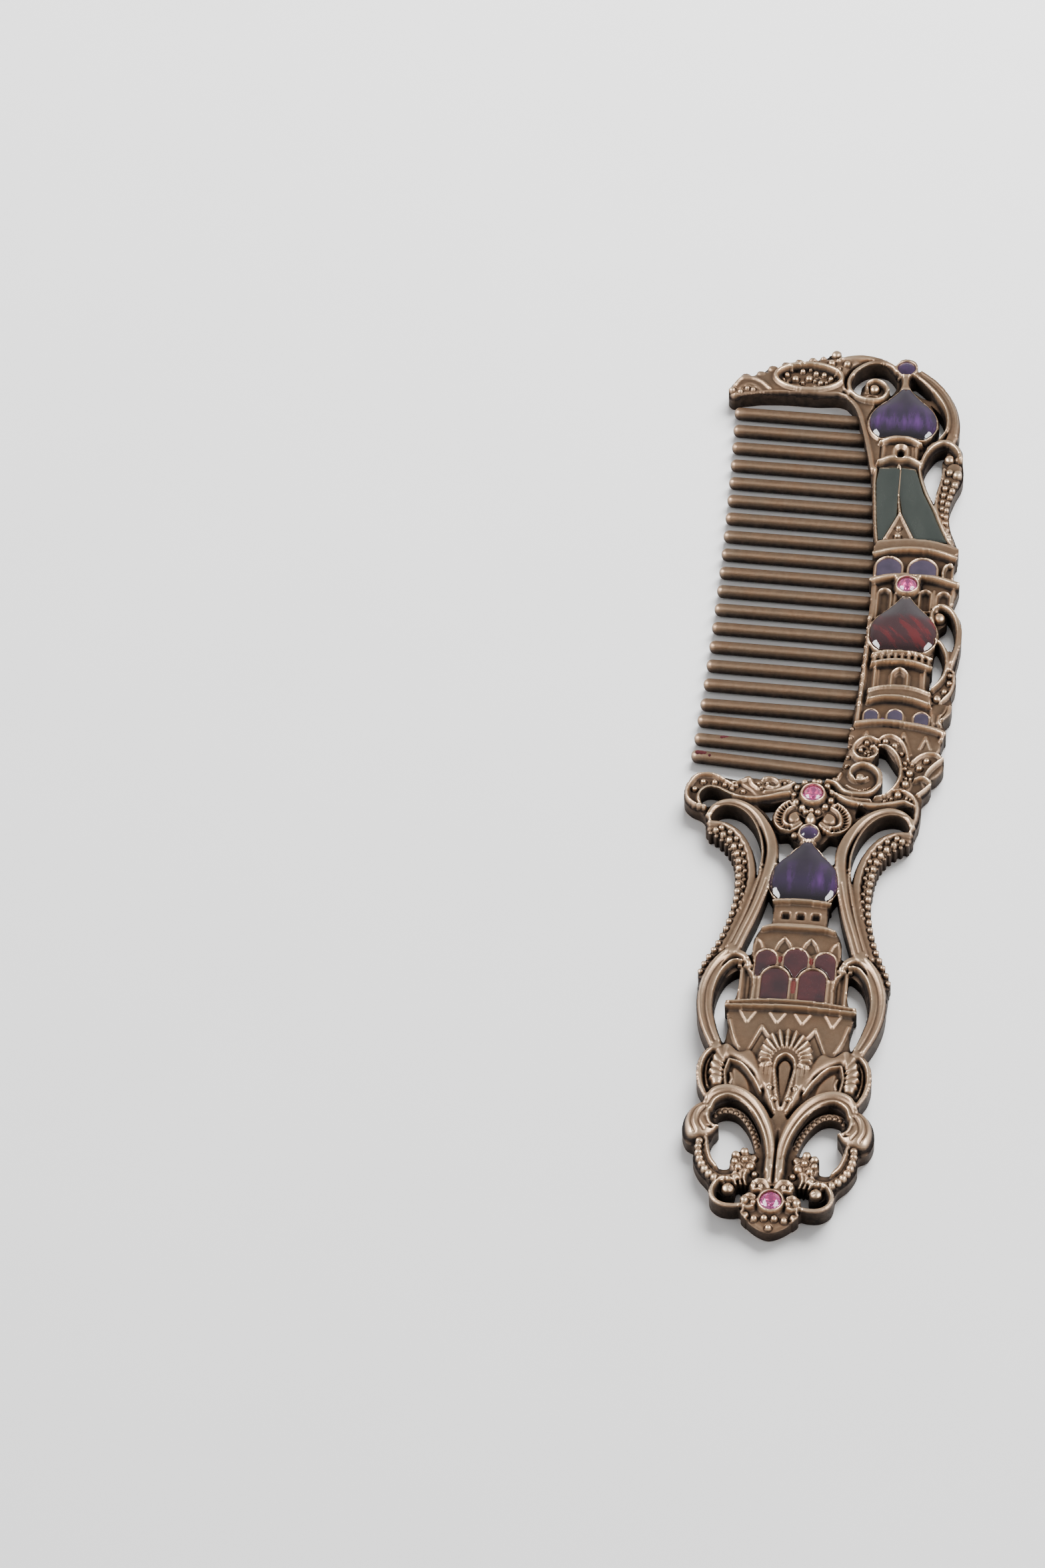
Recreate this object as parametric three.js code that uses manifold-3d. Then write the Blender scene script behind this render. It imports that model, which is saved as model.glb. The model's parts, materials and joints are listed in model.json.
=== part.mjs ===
// Decorative hair comb: a cast frame with an antique copper finish, hard enamel cells and set glass stones.
// Units are millimetres. The flat back lies on z = 0 and the decorated face looks along +Z. The comb runs
// along Y, handle at -Y and end guard at +Y, its teeth point along -X, and the origin is on the back
// directly under the crossguard stone. The casting is divided at its natural lines into sections.

import * as THREE from "three";
import { mergeVertices } from "three/addons/utils/BufferGeometryUtils.js";
import Module from "manifold-3d";

const wasm = await Module();
wasm.setup();

// Heights above the back
const FIELD = 2.4;         // recessed faces between the ribs
const LEDGE = 3.2;         // rims, collars and flat ledges
const CROWN = 3.8;         // arms, arcs and bead rows
const TOP = 4.4;           // bezels and the beads round them
const CELL_FLOOR = 1.6;    // bottom of an enamel cell
const ENAMEL_FACE = 2.9;   // where a fill's crown starts

// Clearances
const GAP = 0.3;           // between two sections of the casting
const CELL_GAP = 0.1;      // round an enamel fill or a stone

// Teeth
const TOOTH_COUNT = 20;
const TOOTH_PITCH = 4.04;
const FIRST_TOOTH = 6.0;   // centre of the lowest root
const TOOTH_WIDTH = 1.9;
const TOOTH_HEIGHT = 2.4;
const TIP_LINE = -19.2;    // x of the tips at mid comb
const TIP_BOW = 0.8;       // how much further the first and last tips reach
const TOOTH_BEVEL = 0.4;
const LOW_TILTS = [4.8, 3.5, 3, 1.6];   // degrees that the lowest teeth rise towards their tips
const USUAL_TILT = 2;

// Stones
const STONE_RADIUS = 1.55;
const BEZEL = 0.45;        // width of a bezel's wall

const RIB = 0.8;           // width of an ordinary raised rib
const BEAD = 0.45;         // radius of an ordinary bead

const ROOT = 1;                 // raised work starts at this height, inside the plate
const OVERRUN = 1;              // how far a cutter runs past what it cuts
const SMALLEST_DETAIL = 0.02;   // facets flatter than this are merged after cutting

const copper = new THREE.MeshStandardMaterial({ color: 0x8f7259, roughness: 0.42, metalness: 0.9 });
const violet = new THREE.MeshStandardMaterial({ color: 0x43365f, roughness: 0.12, metalness: 0 });
const green = new THREE.MeshStandardMaterial({ color: 0x2f3f36, roughness: 0.12, metalness: 0 });
const red = new THREE.MeshStandardMaterial({ color: 0x4a1418, roughness: 0.12, metalness: 0 });
const pink = new THREE.MeshStandardMaterial({ color: 0xd07fae, roughness: 0.05, metalness: 0 });

// ---------------------------------------------------------------------------------------------------------
// Shape helpers

function sample(points, closed, perSpan) {
  const path = new THREE.CatmullRomCurve3(
    points.map(([x, y]) => new THREE.Vector3(x, y, 0)), closed, "centripetal");
  const spans = closed ? points.length : points.length - 1;
  const samples = path.getPoints(spans * perSpan);
  if (closed) samples.pop();
  return samples.map(({ x, y }) => new THREE.Vector2(x, y));
}

const loop = (points, perSpan = 2) => sample(points, true, perSpan);
const corners = (points) => points.map(([x, y]) => new THREE.Vector2(x, y));
const flip = (points) => points.map(([x, y]) => [-x, y]).reverse();

function ring(x, y, radius, sides = 16, squash = 1) {
  const points = [];
  for (let i = 0; i < sides; i++) {
    const angle = (i / sides) * 2 * Math.PI;
    points.push(new THREE.Vector2(x + radius * Math.cos(angle), y + squash * radius * Math.sin(angle)));
  }
  return points;
}

// The outline of a rib of the given width along a smooth open path, with rounded ends
function band(points, width, perSpan = 2) {
  const path = sample(points, false, perSpan);
  const last = path.length - 1;
  const left = [];
  const right = [];
  path.forEach((point, i) => {
    const along = path[Math.min(i + 1, last)].clone().sub(path[Math.max(i - 1, 0)]).normalize();
    const side = new THREE.Vector2(-along.y, along.x).multiplyScalar(width / 2);
    left.push(point.clone().add(side));
    right.push(point.clone().sub(side));
  });
  const nose = (at, from) => at.clone().add(at.clone().sub(from).normalize().multiplyScalar(width * 0.35));
  return [...left, nose(path[last], path[last - 1]), ...right.reverse(), nose(path[0], path[1])];
}

function toManifold(geometry) {
  const clean = geometry.clone();
  clean.deleteAttribute("normal");
  clean.deleteAttribute("uv");
  const merged = mergeVertices(clean, 1e-5);
  return new wasm.Manifold(new wasm.Mesh({
    numProp: 3,
    vertProperties: new Float32Array(merged.attributes.position.array),
    triVerts: new Uint32Array(merged.index.array),
  }));
}

const anticlockwise = (outline) => (THREE.ShapeUtils.isClockWise(outline) ? [...outline].reverse() : outline);

function slab(outline, low, high, bevel = 0) {
  const shape = new THREE.Shape(anticlockwise(outline));
  const geometry = new THREE.ExtrudeGeometry(shape, {
    depth: high - low - 2 * bevel,
    bevelEnabled: bevel > 0,
    bevelThickness: bevel,
    bevelSize: bevel,
    bevelOffset: -bevel,
    bevelSegments: 1,
  });
  return toManifold(geometry.translate(0, 0, low + bevel));
}

// Raised work that grows out of the plate, and a cutter that goes right through
const boss = (outline, high) => slab(outline, ROOT, high);
const through = (outline) => slab(outline, -OVERRUN, TOP + OVERRUN);

// An outline drawn in by a distance, or let out by a negative one
const shrink = (outline, by) => {
  const count = outline.length;
  const clockwise = THREE.ShapeUtils.isClockWise(outline);
  return outline.map((point, i) => {
    const before = outline[(i + count - 1) % count];
    const after = outline[(i + 1) % count];
    const along = after.clone().sub(before).normalize();
    const inward = new THREE.Vector2(-along.y, along.x);
    return point.clone().addScaledVector(inward, clockwise ? -by : by);
  });
};

// A rim of constant width along an outline
function rim(outline, width, high) {
  return boss(shrink(outline, -width / 2), high).subtract(through(shrink(outline, width / 2)));
}

// A rib standing on the plate; a path of many points needs no finer steps
const rib = (points, width = RIB, high = LEDGE, perSpan = points.length > 6 ? 1 : 2) =>
  boss(band(points, width, perSpan), high);

function bead(x, y, radius = BEAD, high = CROWN) {
  const base = FIELD - 0.6;
  const shoulder = [radius * 0.6, high - 0.2 * radius];
  const profile = [[0, base], [radius, base], [radius, high - radius], shoulder, [0, high]];
  const geometry = new THREE.LatheGeometry(profile.map(([r, z]) => new THREE.Vector2(r, z)), 6);
  return toManifold(geometry.rotateX(Math.PI / 2).translate(x, y, 0));
}

// Ribs given for the left side, as [path, width, height], and drawn on both sides
const ribPairs = (left) =>
  left.flatMap(([points, width, high]) => [rib(points, width, high), rib(flip(points), width, high)]);

const beads = (places, radius, high) => places.map(([x, y]) => bead(x, y, radius, high));
const bothSides = (places) => [...places, ...places.map(([x, y]) => [-x, y])];
const join = (solids) => wasm.Manifold.union(solids);

// A crowned solid: an upright wall, then two rings drawn in towards the middle, and a flat crown
function cabochon(outline, low, edge, high) {
  const edgeLoop = anticlockwise(outline);
  const count = edgeLoop.length;
  const centre = edgeLoop.reduce((sum, p) => sum.add(p), new THREE.Vector2()).divideScalar(count);
  const steps = [[1, low], [1, edge], [0.86, edge + 0.55 * (high - edge)], [0.6, high]];
  const vertices = [];
  for (const [scale, z] of steps) {
    for (const p of edgeLoop) {
      vertices.push(centre.x + scale * (p.x - centre.x), centre.y + scale * (p.y - centre.y), z);
    }
  }
  const triangles = [];
  for (let level = 0; level + 1 < steps.length; level++) {
    for (let i = 0; i < count; i++) {
      const [a, b] = [level * count + i, level * count + ((i + 1) % count)];
      triangles.push(a, b, b + count, a, b + count, a + count);
    }
  }
  const cap = THREE.ShapeUtils.triangulateShape(edgeLoop, []);
  const topRing = (steps.length - 1) * count;
  for (const [a, b, c] of cap) triangles.push(topRing + a, topRing + b, topRing + c, c, b, a);
  const geometry = new THREE.BufferGeometry();
  geometry.setAttribute("position", new THREE.Float32BufferAttribute(vertices, 3));
  geometry.setIndex(triangles);
  return geometry;
}

// ---------------------------------------------------------------------------------------------------------
// Enamel cells: each outline is cut as a pocket in the casting and filled by a crowned solid

const domeOutline = (x, low, tip, reach) => {
  const height = tip - low;
  const half = [
    [0.68, 0], [0.86, 0.1], [0.98, 0.22], [1, 0.36], [0.93, 0.5], [0.7, 0.66], [0.42, 0.8], [0.2, 0.92]];
  const right = half.map(([across, up]) => [x + across * reach, low + up * height]);
  const left = [...half].reverse().map(([across, up]) => [x - across * reach, low + up * height]);
  return corners([...right, [x + 0.1 * reach, tip], [x - 0.1 * reach, tip], ...left]);
};

function archOutline(x, low, high, halfWidth, sides = 6) {
  const spring = high - halfWidth;
  const points = [[x - halfWidth, low], [x + halfWidth, low]];
  for (let i = 0; i <= sides; i++) {
    const angle = (i / sides) * Math.PI;
    points.push([x + halfWidth * Math.cos(angle), spring + halfWidth * Math.sin(angle)]);
  }
  return corners(points);
}

// The upper arcade's cells end on the curves of the lower arches
const upperSide = [[-6.1, -35.2], [-6.1, -32.3], [-5.7, -31.3], [-4.5, -30.7], [-3.3, -31.3],
  [-2.95, -32.3], [-2.95, -33.2], [-3.9, -33.6], [-4.8, -34.3], [-5.35, -35.3], [-5.6, -36]];
const upperMiddleHalf = [
  [0, -36], [0.35, -35.2], [0.9, -34.2], [1.75, -33.4], [1.8, -31.9], [1.3, -30.7], [0, -30.2]];
const upperMiddle = [...upperMiddleHalf, ...flip(upperMiddleHalf.slice(1, -1))];

const cells = [   // name, outline, glass, and the height of the crown
  ["top_ball_enamel", ring(8.3, 94, 1.5, 12), violet, TOP],
  ["top_dome_enamel", domeOutline(8.6, 77.9, 89, 5.4), violet, TOP - 0.1],
  ["roof_panel_left_enamel", corners([[5.4, 71.2], [5.1, 68], [5.5, 62], [6.25, 55.1], [6.8, 55.1],
    [8.7, 60.6], [8.6, 65], [8.5, 71.4]]), green, LEDGE],
  ["roof_panel_right_enamel", corners([[9.3, 71.4], [9.2, 65.4], [9.9, 60.8], [12.3, 55.4], [17.4, 55.2],
    [14.8, 61.6], [12.8, 66], [11.2, 71.2]]), green, LEDGE],
  ["gallery_window_left_enamel", archOutline(8.4, 47.5, 51, 1.85), violet, LEDGE],
  ["gallery_window_right_enamel", archOutline(13.9, 47.5, 51, 2.05), violet, LEDGE],
  ["red_dome_enamel", domeOutline(11.7, 31, 42.2, 5.15), red, TOP - 0.1],
  ["lower_window_left_enamel", archOutline(7.8, 16.2, 18.4, 0.95), violet, LEDGE],
  ["lower_window_middle_enamel", archOutline(11.6, 16.4, 18.6, 1.05), violet, LEDGE],
  ["lower_window_right_enamel", archOutline(15.8, 16.1, 18.3, 1), violet, LEDGE],
  ["handle_ball_enamel", ring(0, -7.7, 1.35, 12), violet, TOP],
  ["handle_dome_enamel", domeOutline(0, -21, -9.9, 5.1), violet, TOP - 0.1],
  ["arcade_upper_left_enamel", corners(upperSide), red, LEDGE],
  ["arcade_upper_middle_enamel", corners(upperMiddle), red, LEDGE],
  ["arcade_upper_right_enamel", corners(flip(upperSide)), red, LEDGE],
  ["arcade_lower_left_enamel", archOutline(-2.85, -39.8, -34.1, 2.05), red, LEDGE],
  ["arcade_lower_right_enamel", archOutline(2.85, -39.8, -34.1, 2.05), red, LEDGE],
];

const stones = [   // name, x, y
  ["crossguard_stone", 0, 0],
  ["spine_stone", 11.7, 44.9],
  ["pommel_stone", 0, -76.8],
];

// ---------------------------------------------------------------------------------------------------------
// The casting: an outline plate, openings through it, and raised work on its face

const headOutline = [
  [-21.2, 85.4], [-21.3, 88], [-20.1, 90.4], [-18.2, 91.5], [-16.4, 92], [-15.2, 93.2], [-13.5, 93.7],
  [-11.5, 94.8], [-8.5, 95.8], [-5.6, 96.4], [-4.7, 97.6], [-3.7, 98], [-2.9, 97.3], [0, 97.2], [3, 96.7],
  [6, 95.4], [7.3, 95.7], [8.3, 95.9], [9.6, 95.5], [10.5, 93.8], [13, 91.5], [15, 89], [16.7, 86],
  [17.8, 82.6], [18, 80], [17.9, 78.2], [18.9, 76], [19.1, 73.6], [19.4, 71], [19.2, 69], [18.5, 67],
  [17.8, 64.5], [17.6, 61.5], [18.2, 58], [19.1, 55.4], [19.6, 53.4], [19.4, 51.4], [18.9, 50.2],
  [18.9, 47.6], [20, 46.5], [20, 44.9], [19.5, 42.8], [19.4, 41], [20.4, 39.2], [21, 36.5], [21.1, 33],
  [20.7, 29.4], [20.7, 27.8], [21, 26], [20.8, 24], [20.3, 22], [20.7, 20.4], [20.5, 18.6],
  [19.5, 16.8], [19.9, 15], [19.7, 13], [19.4, 10.4], [20.1, 9], [20.1, 7], [18.3, 4.8], [18.3, 2.8],
  [17, 1], [16.8, -1], [17, -3.4], [16.6, -5.4],
];
const leftOfHead = [
  [-16.6, -5.4], [-17.2, -4.5], [-18.8, -3.7], [-19.9, -2.4], [-20.2, -0.8], [-19.8, 1.2], [-18.6, 2.8],
  [-17, 3.4], [-14.5, 3.1], [-11, 2.6], [-8, 2.7], [-4, 2.8], [-2, 3], [0, 3.6], [1.8, 3.4], [3.3, 4.4],
  [4.3, 8], [4.9, 14], [5, 18], [5.3, 22], [5.6, 30], [5.9, 38], [5.9, 46], [5.8, 52], [5.3, 57], [4.8, 62],
  [4.4, 66.5], [3.8, 71], [3, 75], [2.3, 78], [1.2, 82.5], [0, 85], [-1, 86.4], [-2.6, 87.1], [-6, 86.9],
  [-13, 87], [-18.5, 86.2], [-20.2, 85.2],
];
const handleRight = [
  [16.3, -6.4], [16.2, -7.6], [14.7, -9], [12.9, -10.7], [11.6, -12.5], [10.9, -14.6], [10.6, -17],
  [10.6, -20], [10.9, -23.5], [11.5, -26.8], [12.3, -29.6], [13.2, -32], [14.1, -34.4], [14.5, -37],
  [14.3, -41], [13.8, -44], [12.8, -47], [11.7, -49.6], [12.7, -51.4], [13.2, -54], [12.8, -56.8],
  [11.8, -59.3], [13.1, -60.6], [14.2, -62.6], [14.4, -65], [13.6, -67.2], [12.4, -68], [12.2, -70],
  [11.2, -72.2], [9.5, -74.3], [9.2, -76.2], [8.2, -77.8], [6.3, -78.3], [4.5, -78.4], [3.5, -80],
  [2, -81.2], [0.5, -82],
];

const plateOutline = corners([...headOutline, ...handleRight, ...flip(handleRight), ...leftOfHead]);

const headOpenings = [
  [[-0.7, 90], [-0.4, 91.6], [0.7, 93.4], [2.6, 94.6], [4.6, 94.4], [6, 93], [6.9, 91], [6.6, 89.2],
    [5.8, 88], [5.2, 88.8], [4.8, 90.2], [3.5, 90.9], [1.9, 90.8], [0.8, 89.9], [0.2, 88.3], [-0.4, 88.6]],
  [[9.2, 91.6], [9.2, 90.2], [9.9, 89.3], [11.4, 88.2], [12.8, 87.7], [12.9, 88.7], [11.8, 90.3], [10, 92]],
  [[12.9, 86.6], [14.4, 84.9], [15.4, 82.6], [15.3, 79.8], [14.2, 77.4], [12.7, 75.2], [12.5, 76.4],
    [13.7, 78.6], [14.5, 80.6], [14.5, 82.8], [13.8, 84.6]],
  [[15.5, 76.5], [14, 74.8], [12.9, 72], [12.7, 69.6], [13.3, 67.4], [14.8, 63.9], [15.1, 66], [15.6, 69],
    [15.9, 71.8], [15.4, 73.6], [16.2, 75.6]],
  [[17.2, 40.4], [18.6, 39.6], [19.5, 37.8], [20.1, 35], [20, 32.6], [19.5, 31.2], [18.6, 33], [17.4, 34.2],
    [17.3, 36.4], [18.3, 37.6], [18.4, 39]],
  [[17.4, 32.6], [18.2, 31.2], [18.5, 29], [18.3, 26.8], [17.4, 24.6], [16.7, 23.6], [16.6, 26],
    [16.8, 30]],
  [[9.6, 10.7], [11.2, 10], [12.7, 8], [13, 5.4], [12.4, 3], [10.9, 1], [9.6, 0.5], [10.4, 2.4],
    [10.5, 4.4], [9.6, 6.6], [8.9, 8.2], [9.4, 9.4]],
  [[-17.8, -0.6], [-16.8, 0.2], [-15, 0.2], [-12.4, -1.2], [-14.6, -2], [-16.2, -3], [-17.5, -2.6]],
  [[13.1, -1.2], [14.4, -0.8], [15.6, -1.2], [15.9, -2.4], [14.2, -2]],
];
const centreOpenings = [
  [[-8.6, -2], [-6, -1.5], [-4.4, -1], [-5, -2], [-5.9, -3.6], [-6.1, -5], [-7, -3.8]],
  [[-5.9, -6.7], [-4.8, -7.7], [-2.9, -7.8], [-1.6, -8.9], [-1.3, -10.2], [-2.4, -11.4], [-4.4, -13],
    [-4.5, -10]],
];
const centreOpeningsRight = [
  [[8.6, -2.1], [7.2, -1.6], [6.9, -2], [7, -3.6]],
  [[5.4, -8.3], [3.6, -7.7], [2, -7.7], [1.8, -8.9], [1.3, -10.2], [2.4, -11.4], [4.4, -13], [4.5, -10.4]],
];
const handleOpenings = [
  [[-15.5, -5.6], [-14.6, -4], [-12.9, -3.4], [-10.6, -4.1], [-8.6, -6.3], [-7.3, -9.6], [-6.9, -13],
    [-7.3, -16.4], [-7.9, -13.6], [-9.1, -10.6], [-11, -8.1], [-13.4, -6.4]],
  [[-5.3, -20], [-4.5, -20.8], [-4.4, -25.6], [-5.9, -26.9], [-6.7, -28.8], [-6.8, -31], [-8.6, -31],
    [-7.4, -27.4]],
  [[-8.5, -34.9], [-10.4, -36.4], [-11.5, -40], [-11.5, -43.4], [-10.8, -46], [-9.6, -48.4], [-9.3, -45.6],
    [-10, -42.6], [-10, -41], [-8.6, -40]],
  [[-9.9, -62], [-9.6, -60.4], [-7.6, -59.3], [-5.4, -60.2], [-3.6, -62.6], [-2.4, -65.8], [-3.4, -68],
    [-6.2, -68.2], [-6.8, -71.4], [-8.8, -71], [-10, -68.8], [-9.6, -66], [-8.8, -64.4]],
  [[-8.2, -76], [-7.6, -77.3], [-5.6, -77.6], [-3.9, -77], [-3.2, -75.4], [-3.4, -74.3], [-5.2, -74.2],
    [-5.6, -75.8], [-7.2, -76]],
];

function openings() {
  const outlines = [
    ...headOpenings, ...centreOpenings, ...centreOpeningsRight,
    ...handleOpenings, ...handleOpenings.map(flip),
  ];
  return outlines.map((points) => through(corners(points)));
}

function stoneBezel(x, y) {
  return boss(ring(x, y, STONE_RADIUS + CELL_GAP + BEZEL), TOP - 0.2);
}

function endGuard() {
  return [
    rib([[-20.6, 86], [-20.6, 88.2], [-19.4, 90], [-17, 91.2], [-14.6, 90.6], [-13.4, 88.6]], 0.9, CROWN),
    rib([[-13.2, 87.7], [-8, 87.6], [-3, 87.8], [-1, 87], [0.6, 84.8], [2.2, 80], [3.4, 75.4], [4.4, 71]],
      1, LEDGE),
    rib([[-15, 92.6], [-12, 94], [-8, 95.2], [-4, 96.4], [0, 96.6], [3.4, 96], [6, 94.7]], 1.1, CROWN),
    boss(ring(-7.8, 91.2, 5.9, 20, 0.5), LEDGE),
    rim(ring(-7.8, 91.2, 5.6, 20, 0.48), 0.7, TOP),
    rib([[0.2, 87.2], [-0.9, 88.6], [-1.1, 90.8], [-0.2, 93.2], [1.8, 95], [4.4, 95.2],
      [6.2, 94.2]], 0.8, CROWN),
    boss(ring(3, 88.8, 1.9, 12), CROWN),
    rim(domeOutline(8.6, 77.6, 89.6, 5.9), 0.5, CROWN),
    boss(ring(8.3, 94, 1.9, 16), CROWN),
    rib([[8.3, 92.4], [8.4, 89.6]], 1, LEDGE),
    rib([[10.2, 92.8], [13, 90.2], [15.6, 86.6], [17, 82], [17, 78.6], [16.6, 77]], 1.7, CROWN),
    rib([[5, 76.7], [6.6, 77.6], [8.5, 78], [10.4, 77.6], [12, 76.6]], 0.8, CROWN),
    boss(corners([[5.3, 72.4], [11.7, 72.4], [11.6, 77], [5.5, 77]]), FIELD + 0.4),
    ...beads([[-10.2, 91.2], [-8, 91.6], [-6.4, 92.7], [-4.3, 94.8], [-1.8, 94.7], [-18.2, 87.6],
      [-19.2, 89.2]],
      0.6, TOP),
  ];
}

function roofSection() {
  return [
    rib([[5, 72.3], [6.6, 73.2], [8.5, 73.6], [10.4, 73.2], [12, 72.3]], 0.8, CROWN),
    rib([[4.75, 68.4], [5.15, 62], [5.9, 54.8]], 0.5, LEDGE),
    rib([[11.9, 72], [12.4, 68.8], [14.4, 63.6], [16.2, 59], [18.3, 54.6]], 0.7, LEDGE),
    rib([[8.9, 71.6], [9, 65], [9.3, 61]], 0.45, LEDGE),
    boss(corners([[9.3, 61.4], [7, 55], [12.2, 55]]), LEDGE),
    rib([[12.2, 72.6], [13, 75], [14.6, 77], [16.4, 77.4], [18, 76.4], [18.6, 74]], 1, CROWN),
    boss(ring(17, 73.9, 1.05, 10), TOP - 0.2),
    rib([[17.7, 71.6], [17.4, 69.4], [16.6, 66], [16.3, 62.6], [16.8, 59], [18.3, 55.4]], 1.9, LEDGE),
    rib([[6.7, 53.2], [9, 53.7], [12.5, 53.9], [16, 53.5], [19.3, 52.5]], 1.9, CROWN),
    ...beads([[9.4, 58], [9.4, 56.2], [16.8, 69.2], [18.4, 68.9], [16.6, 66.2], [17.8, 66.2], [16.4, 63.2],
      [17.2, 63.2], [16.6, 60.4], [17.3, 60.4], [17.6, 57.6]], BEAD, TOP - 0.2),
  ];
}

function domeSection() {
  const gallery = [[8.4, 1.85], [13.9, 2.05]].map(
    ([x, reach]) => rim(archOutline(x, 47.3, 51.2, reach + 0.25), 0.5, LEDGE));
  const merlons = [];
  for (let i = 0; i < 7; i++) {
    const x = 8 + i * 1.22;
    merlons.push(boss(ring(x, 29.1 + 0.5 * Math.cos((i - 3) * 0.5), 0.42, 6, 1.6), CROWN));
  }
  return [
    ...gallery,
    ...merlons,
    rib([[6.3, 46.2], [8.6, 46.8], [12, 47.1], [16, 46.8], [19.8, 45.7]], 0.9, CROWN),
    stoneBezel(11.7, 44.9),
    rim(archOutline(8.1, 38.4, 44.5, 1.2), 0.4, LEDGE),
    rim(archOutline(14.7, 40.6, 44.5, 1), 0.4, LEDGE),
    rim(archOutline(17.7, 41.6, 44.5, 1.1), 0.4, LEDGE),
    rib([[6.3, 44], [6.3, 38], [6.1, 30], [5.8, 22], [5.5, 16.4]], 0.7, LEDGE),
    rim(domeOutline(11.7, 30.6, 42.8, 5.6), 0.5, CROWN),
    rib([[7, 29.8], [9, 30.5], [11.6, 30.7], [14.4, 30.4], [16.6, 29.5]], 0.6, CROWN),
    rib([[7, 27.7], [9, 28.3], [11.6, 28.5], [14.4, 28.2], [16.7, 27.3]], 0.7, CROWN),
    rib([[7.6, 27.4], [7.6, 23.2]], 0.6, LEDGE),
    rib([[15.9, 27], [15.9, 23.2]], 0.6, LEDGE),
    rim(archOutline(11.7, 23.4, 27.2, 1.3), 0.5, LEDGE),
    rib([[7, 22.6], [9, 23.2], [11.7, 23.4], [14.4, 23.1], [16.9, 22.2]], 0.6, CROWN),
    rib([[7, 20.3], [9, 20.9], [11.7, 21.1], [14.4, 20.7], [17, 19.8]], 0.6, CROWN),
    boss(corners([[7, 20.5], [11.7, 21.2], [16.9, 20], [16.9, 22.2], [11.7, 23.2], [7, 22.5]]), LEDGE),
    boss(ring(17.3, 38.6, 1, 10), TOP - 0.2),
    rib([[16.2, 39.6], [16.8, 40.8], [18.2, 40.9], [19.6, 39.6], [20.4, 37], [20.6, 34], [20.2, 30.6],
      [19.6, 28.6]], 0.9, CROWN),
    rib([[17.1, 33.4], [18.3, 32.4], [19, 30], [19, 27.6], [18.4, 25.4], [17, 23.2]], 0.7, CROWN),
    rib([[20.5, 27], [20.4, 24.6], [19.8, 22.4], [18.6, 20.9]], 0.6, LEDGE),
    rib([[20.3, 20.4], [20, 18.6], [19, 17]], 0.8, LEDGE),
    ...beads([[19.8, 26.5], [19.8, 24.9], [19.1, 23.1], [18, 21.6]], BEAD, CROWN),
  ];
}

function crossguard() {
  const stoneBeads = [];
  const beadCount = 11;
  const beadCircle = 3;
  for (let i = 0; i < beadCount; i++) {
    const angle = Math.PI / 2 + (i / beadCount) * 2 * Math.PI;
    stoneBeads.push([beadCircle * Math.cos(angle), beadCircle * Math.sin(angle)]);
  }
  const windows = [[7.8, 0.95], [11.6, 1.05], [15.8, 1]];
  return [
    ...windows.map(([x, reach]) => rim(archOutline(x, 16.1, 18.7, reach + 0.25), 0.4, LEDGE)),
    rib([[5.7, 15.2], [8, 15.7], [11, 15.8], [15, 15.4], [19.6, 14.2]], 0.9, CROWN),
    ...[[7.3, 13.9], [13.3, 14.1], [16.8, 13.5]].map(([x, y]) =>
      rib([[x - 1, y - 2.8], [x, y], [x + 1, y - 2.8]], 0.35, LEDGE, 1)),
    rim(ring(7.4, 10.2, 2, 14), 0.6, CROWN),
    rib([[9.3, 12], [10.6, 13.3], [12.6, 12.8], [14, 10.6], [14.3, 8]], 0.6, CROWN),
    rib([[9.4, 10.8], [11.4, 10.6], [13.2, 8.4], [13.4, 5.2], [12.4, 2.4], [10, 0.6], [7, -0.1], [4, 0.6]],
      0.9, CROWN),
    rib([[6.9, 5.3], [6, 4.7], [6.2, 3.4], [7.8, 2.8], [9.2, 4], [8.8, 5.9], [7, 6.7],
      [5.4, 5.6]], 0.8, CROWN),
    boss(ring(7, 4.2, 0.8, 8), TOP - 0.1),
    rib([[15, 8], [16.6, 9.7], [18.6, 9.8], [19.8, 8.6]], 0.6, CROWN),
    rib([[19.8, 8.4], [18, 6.8], [17, 5], [17.8, 3.6], [16.6, 2.2]], 0.7, CROWN),
    rib([[16.2, 2], [17.2, 0.4], [16.6, -2], [16.2, -4.6]], 0.8, CROWN),
    rib([[-17, -3.9], [-19.2, -2.7], [-19.7, -0.4], [-18.9, 1.8], [-16.8, 2.9], [-14, 2.2], [-11, 0.6],
      [-8.2, -0.4], [-5.4, 0.2], [-3.6, 1.4]], 0.8, CROWN),
    rib([[-8.3, 2.2], [-6.8, 1.4], [-4.8, 2.2], [-3.2, 2]], 0.7, CROWN),
    rib([[4, -0.6], [7, -1], [10, -1.1], [13, -0.3], [15.4, -0.4]], 0.8, CROWN),
    boss(ring(0, 0, 3.5, 18), LEDGE),
    stoneBezel(0, 0),
    ...beads(stoneBeads, 0.5, TOP),
    rib([[-3.6, -1.7], [-5.2, -3.4], [-5.5, -5.4], [-4.2, -6.9], [-2.4, -6.7], [-1.2, -5.8]], 0.7, CROWN),
    rib([[3.8, -1.7], [5.8, -3.2], [6.4, -5.4], [5.6, -7.2], [3.6, -6.8], [1.4, -6]], 0.7, CROWN),
    ...beads([[0, -4], [0, -5.2], [-2.2, -8]], 0.8, CROWN),
    boss(ring(0, -7.7, 1.75, 14), CROWN),
    ...beads([[-18.6, 0], [-17.4, 1.6], [-15.6, 1.6], [-14.2, 1.1], [-12.9, 0.6], [-10.9, 0.1],
      [7.6, 11.4], [6.7, 10], [7.9, 9.3], [10.5, 12.1], [12, 11.2], [13.2, 9.7], [14.6, 5.8],
      [14.3, 3.5], [13.2, 1.2], [17.2, 8.6], [16.2, 7]],
    0.5, CROWN),
  ];
}

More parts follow.
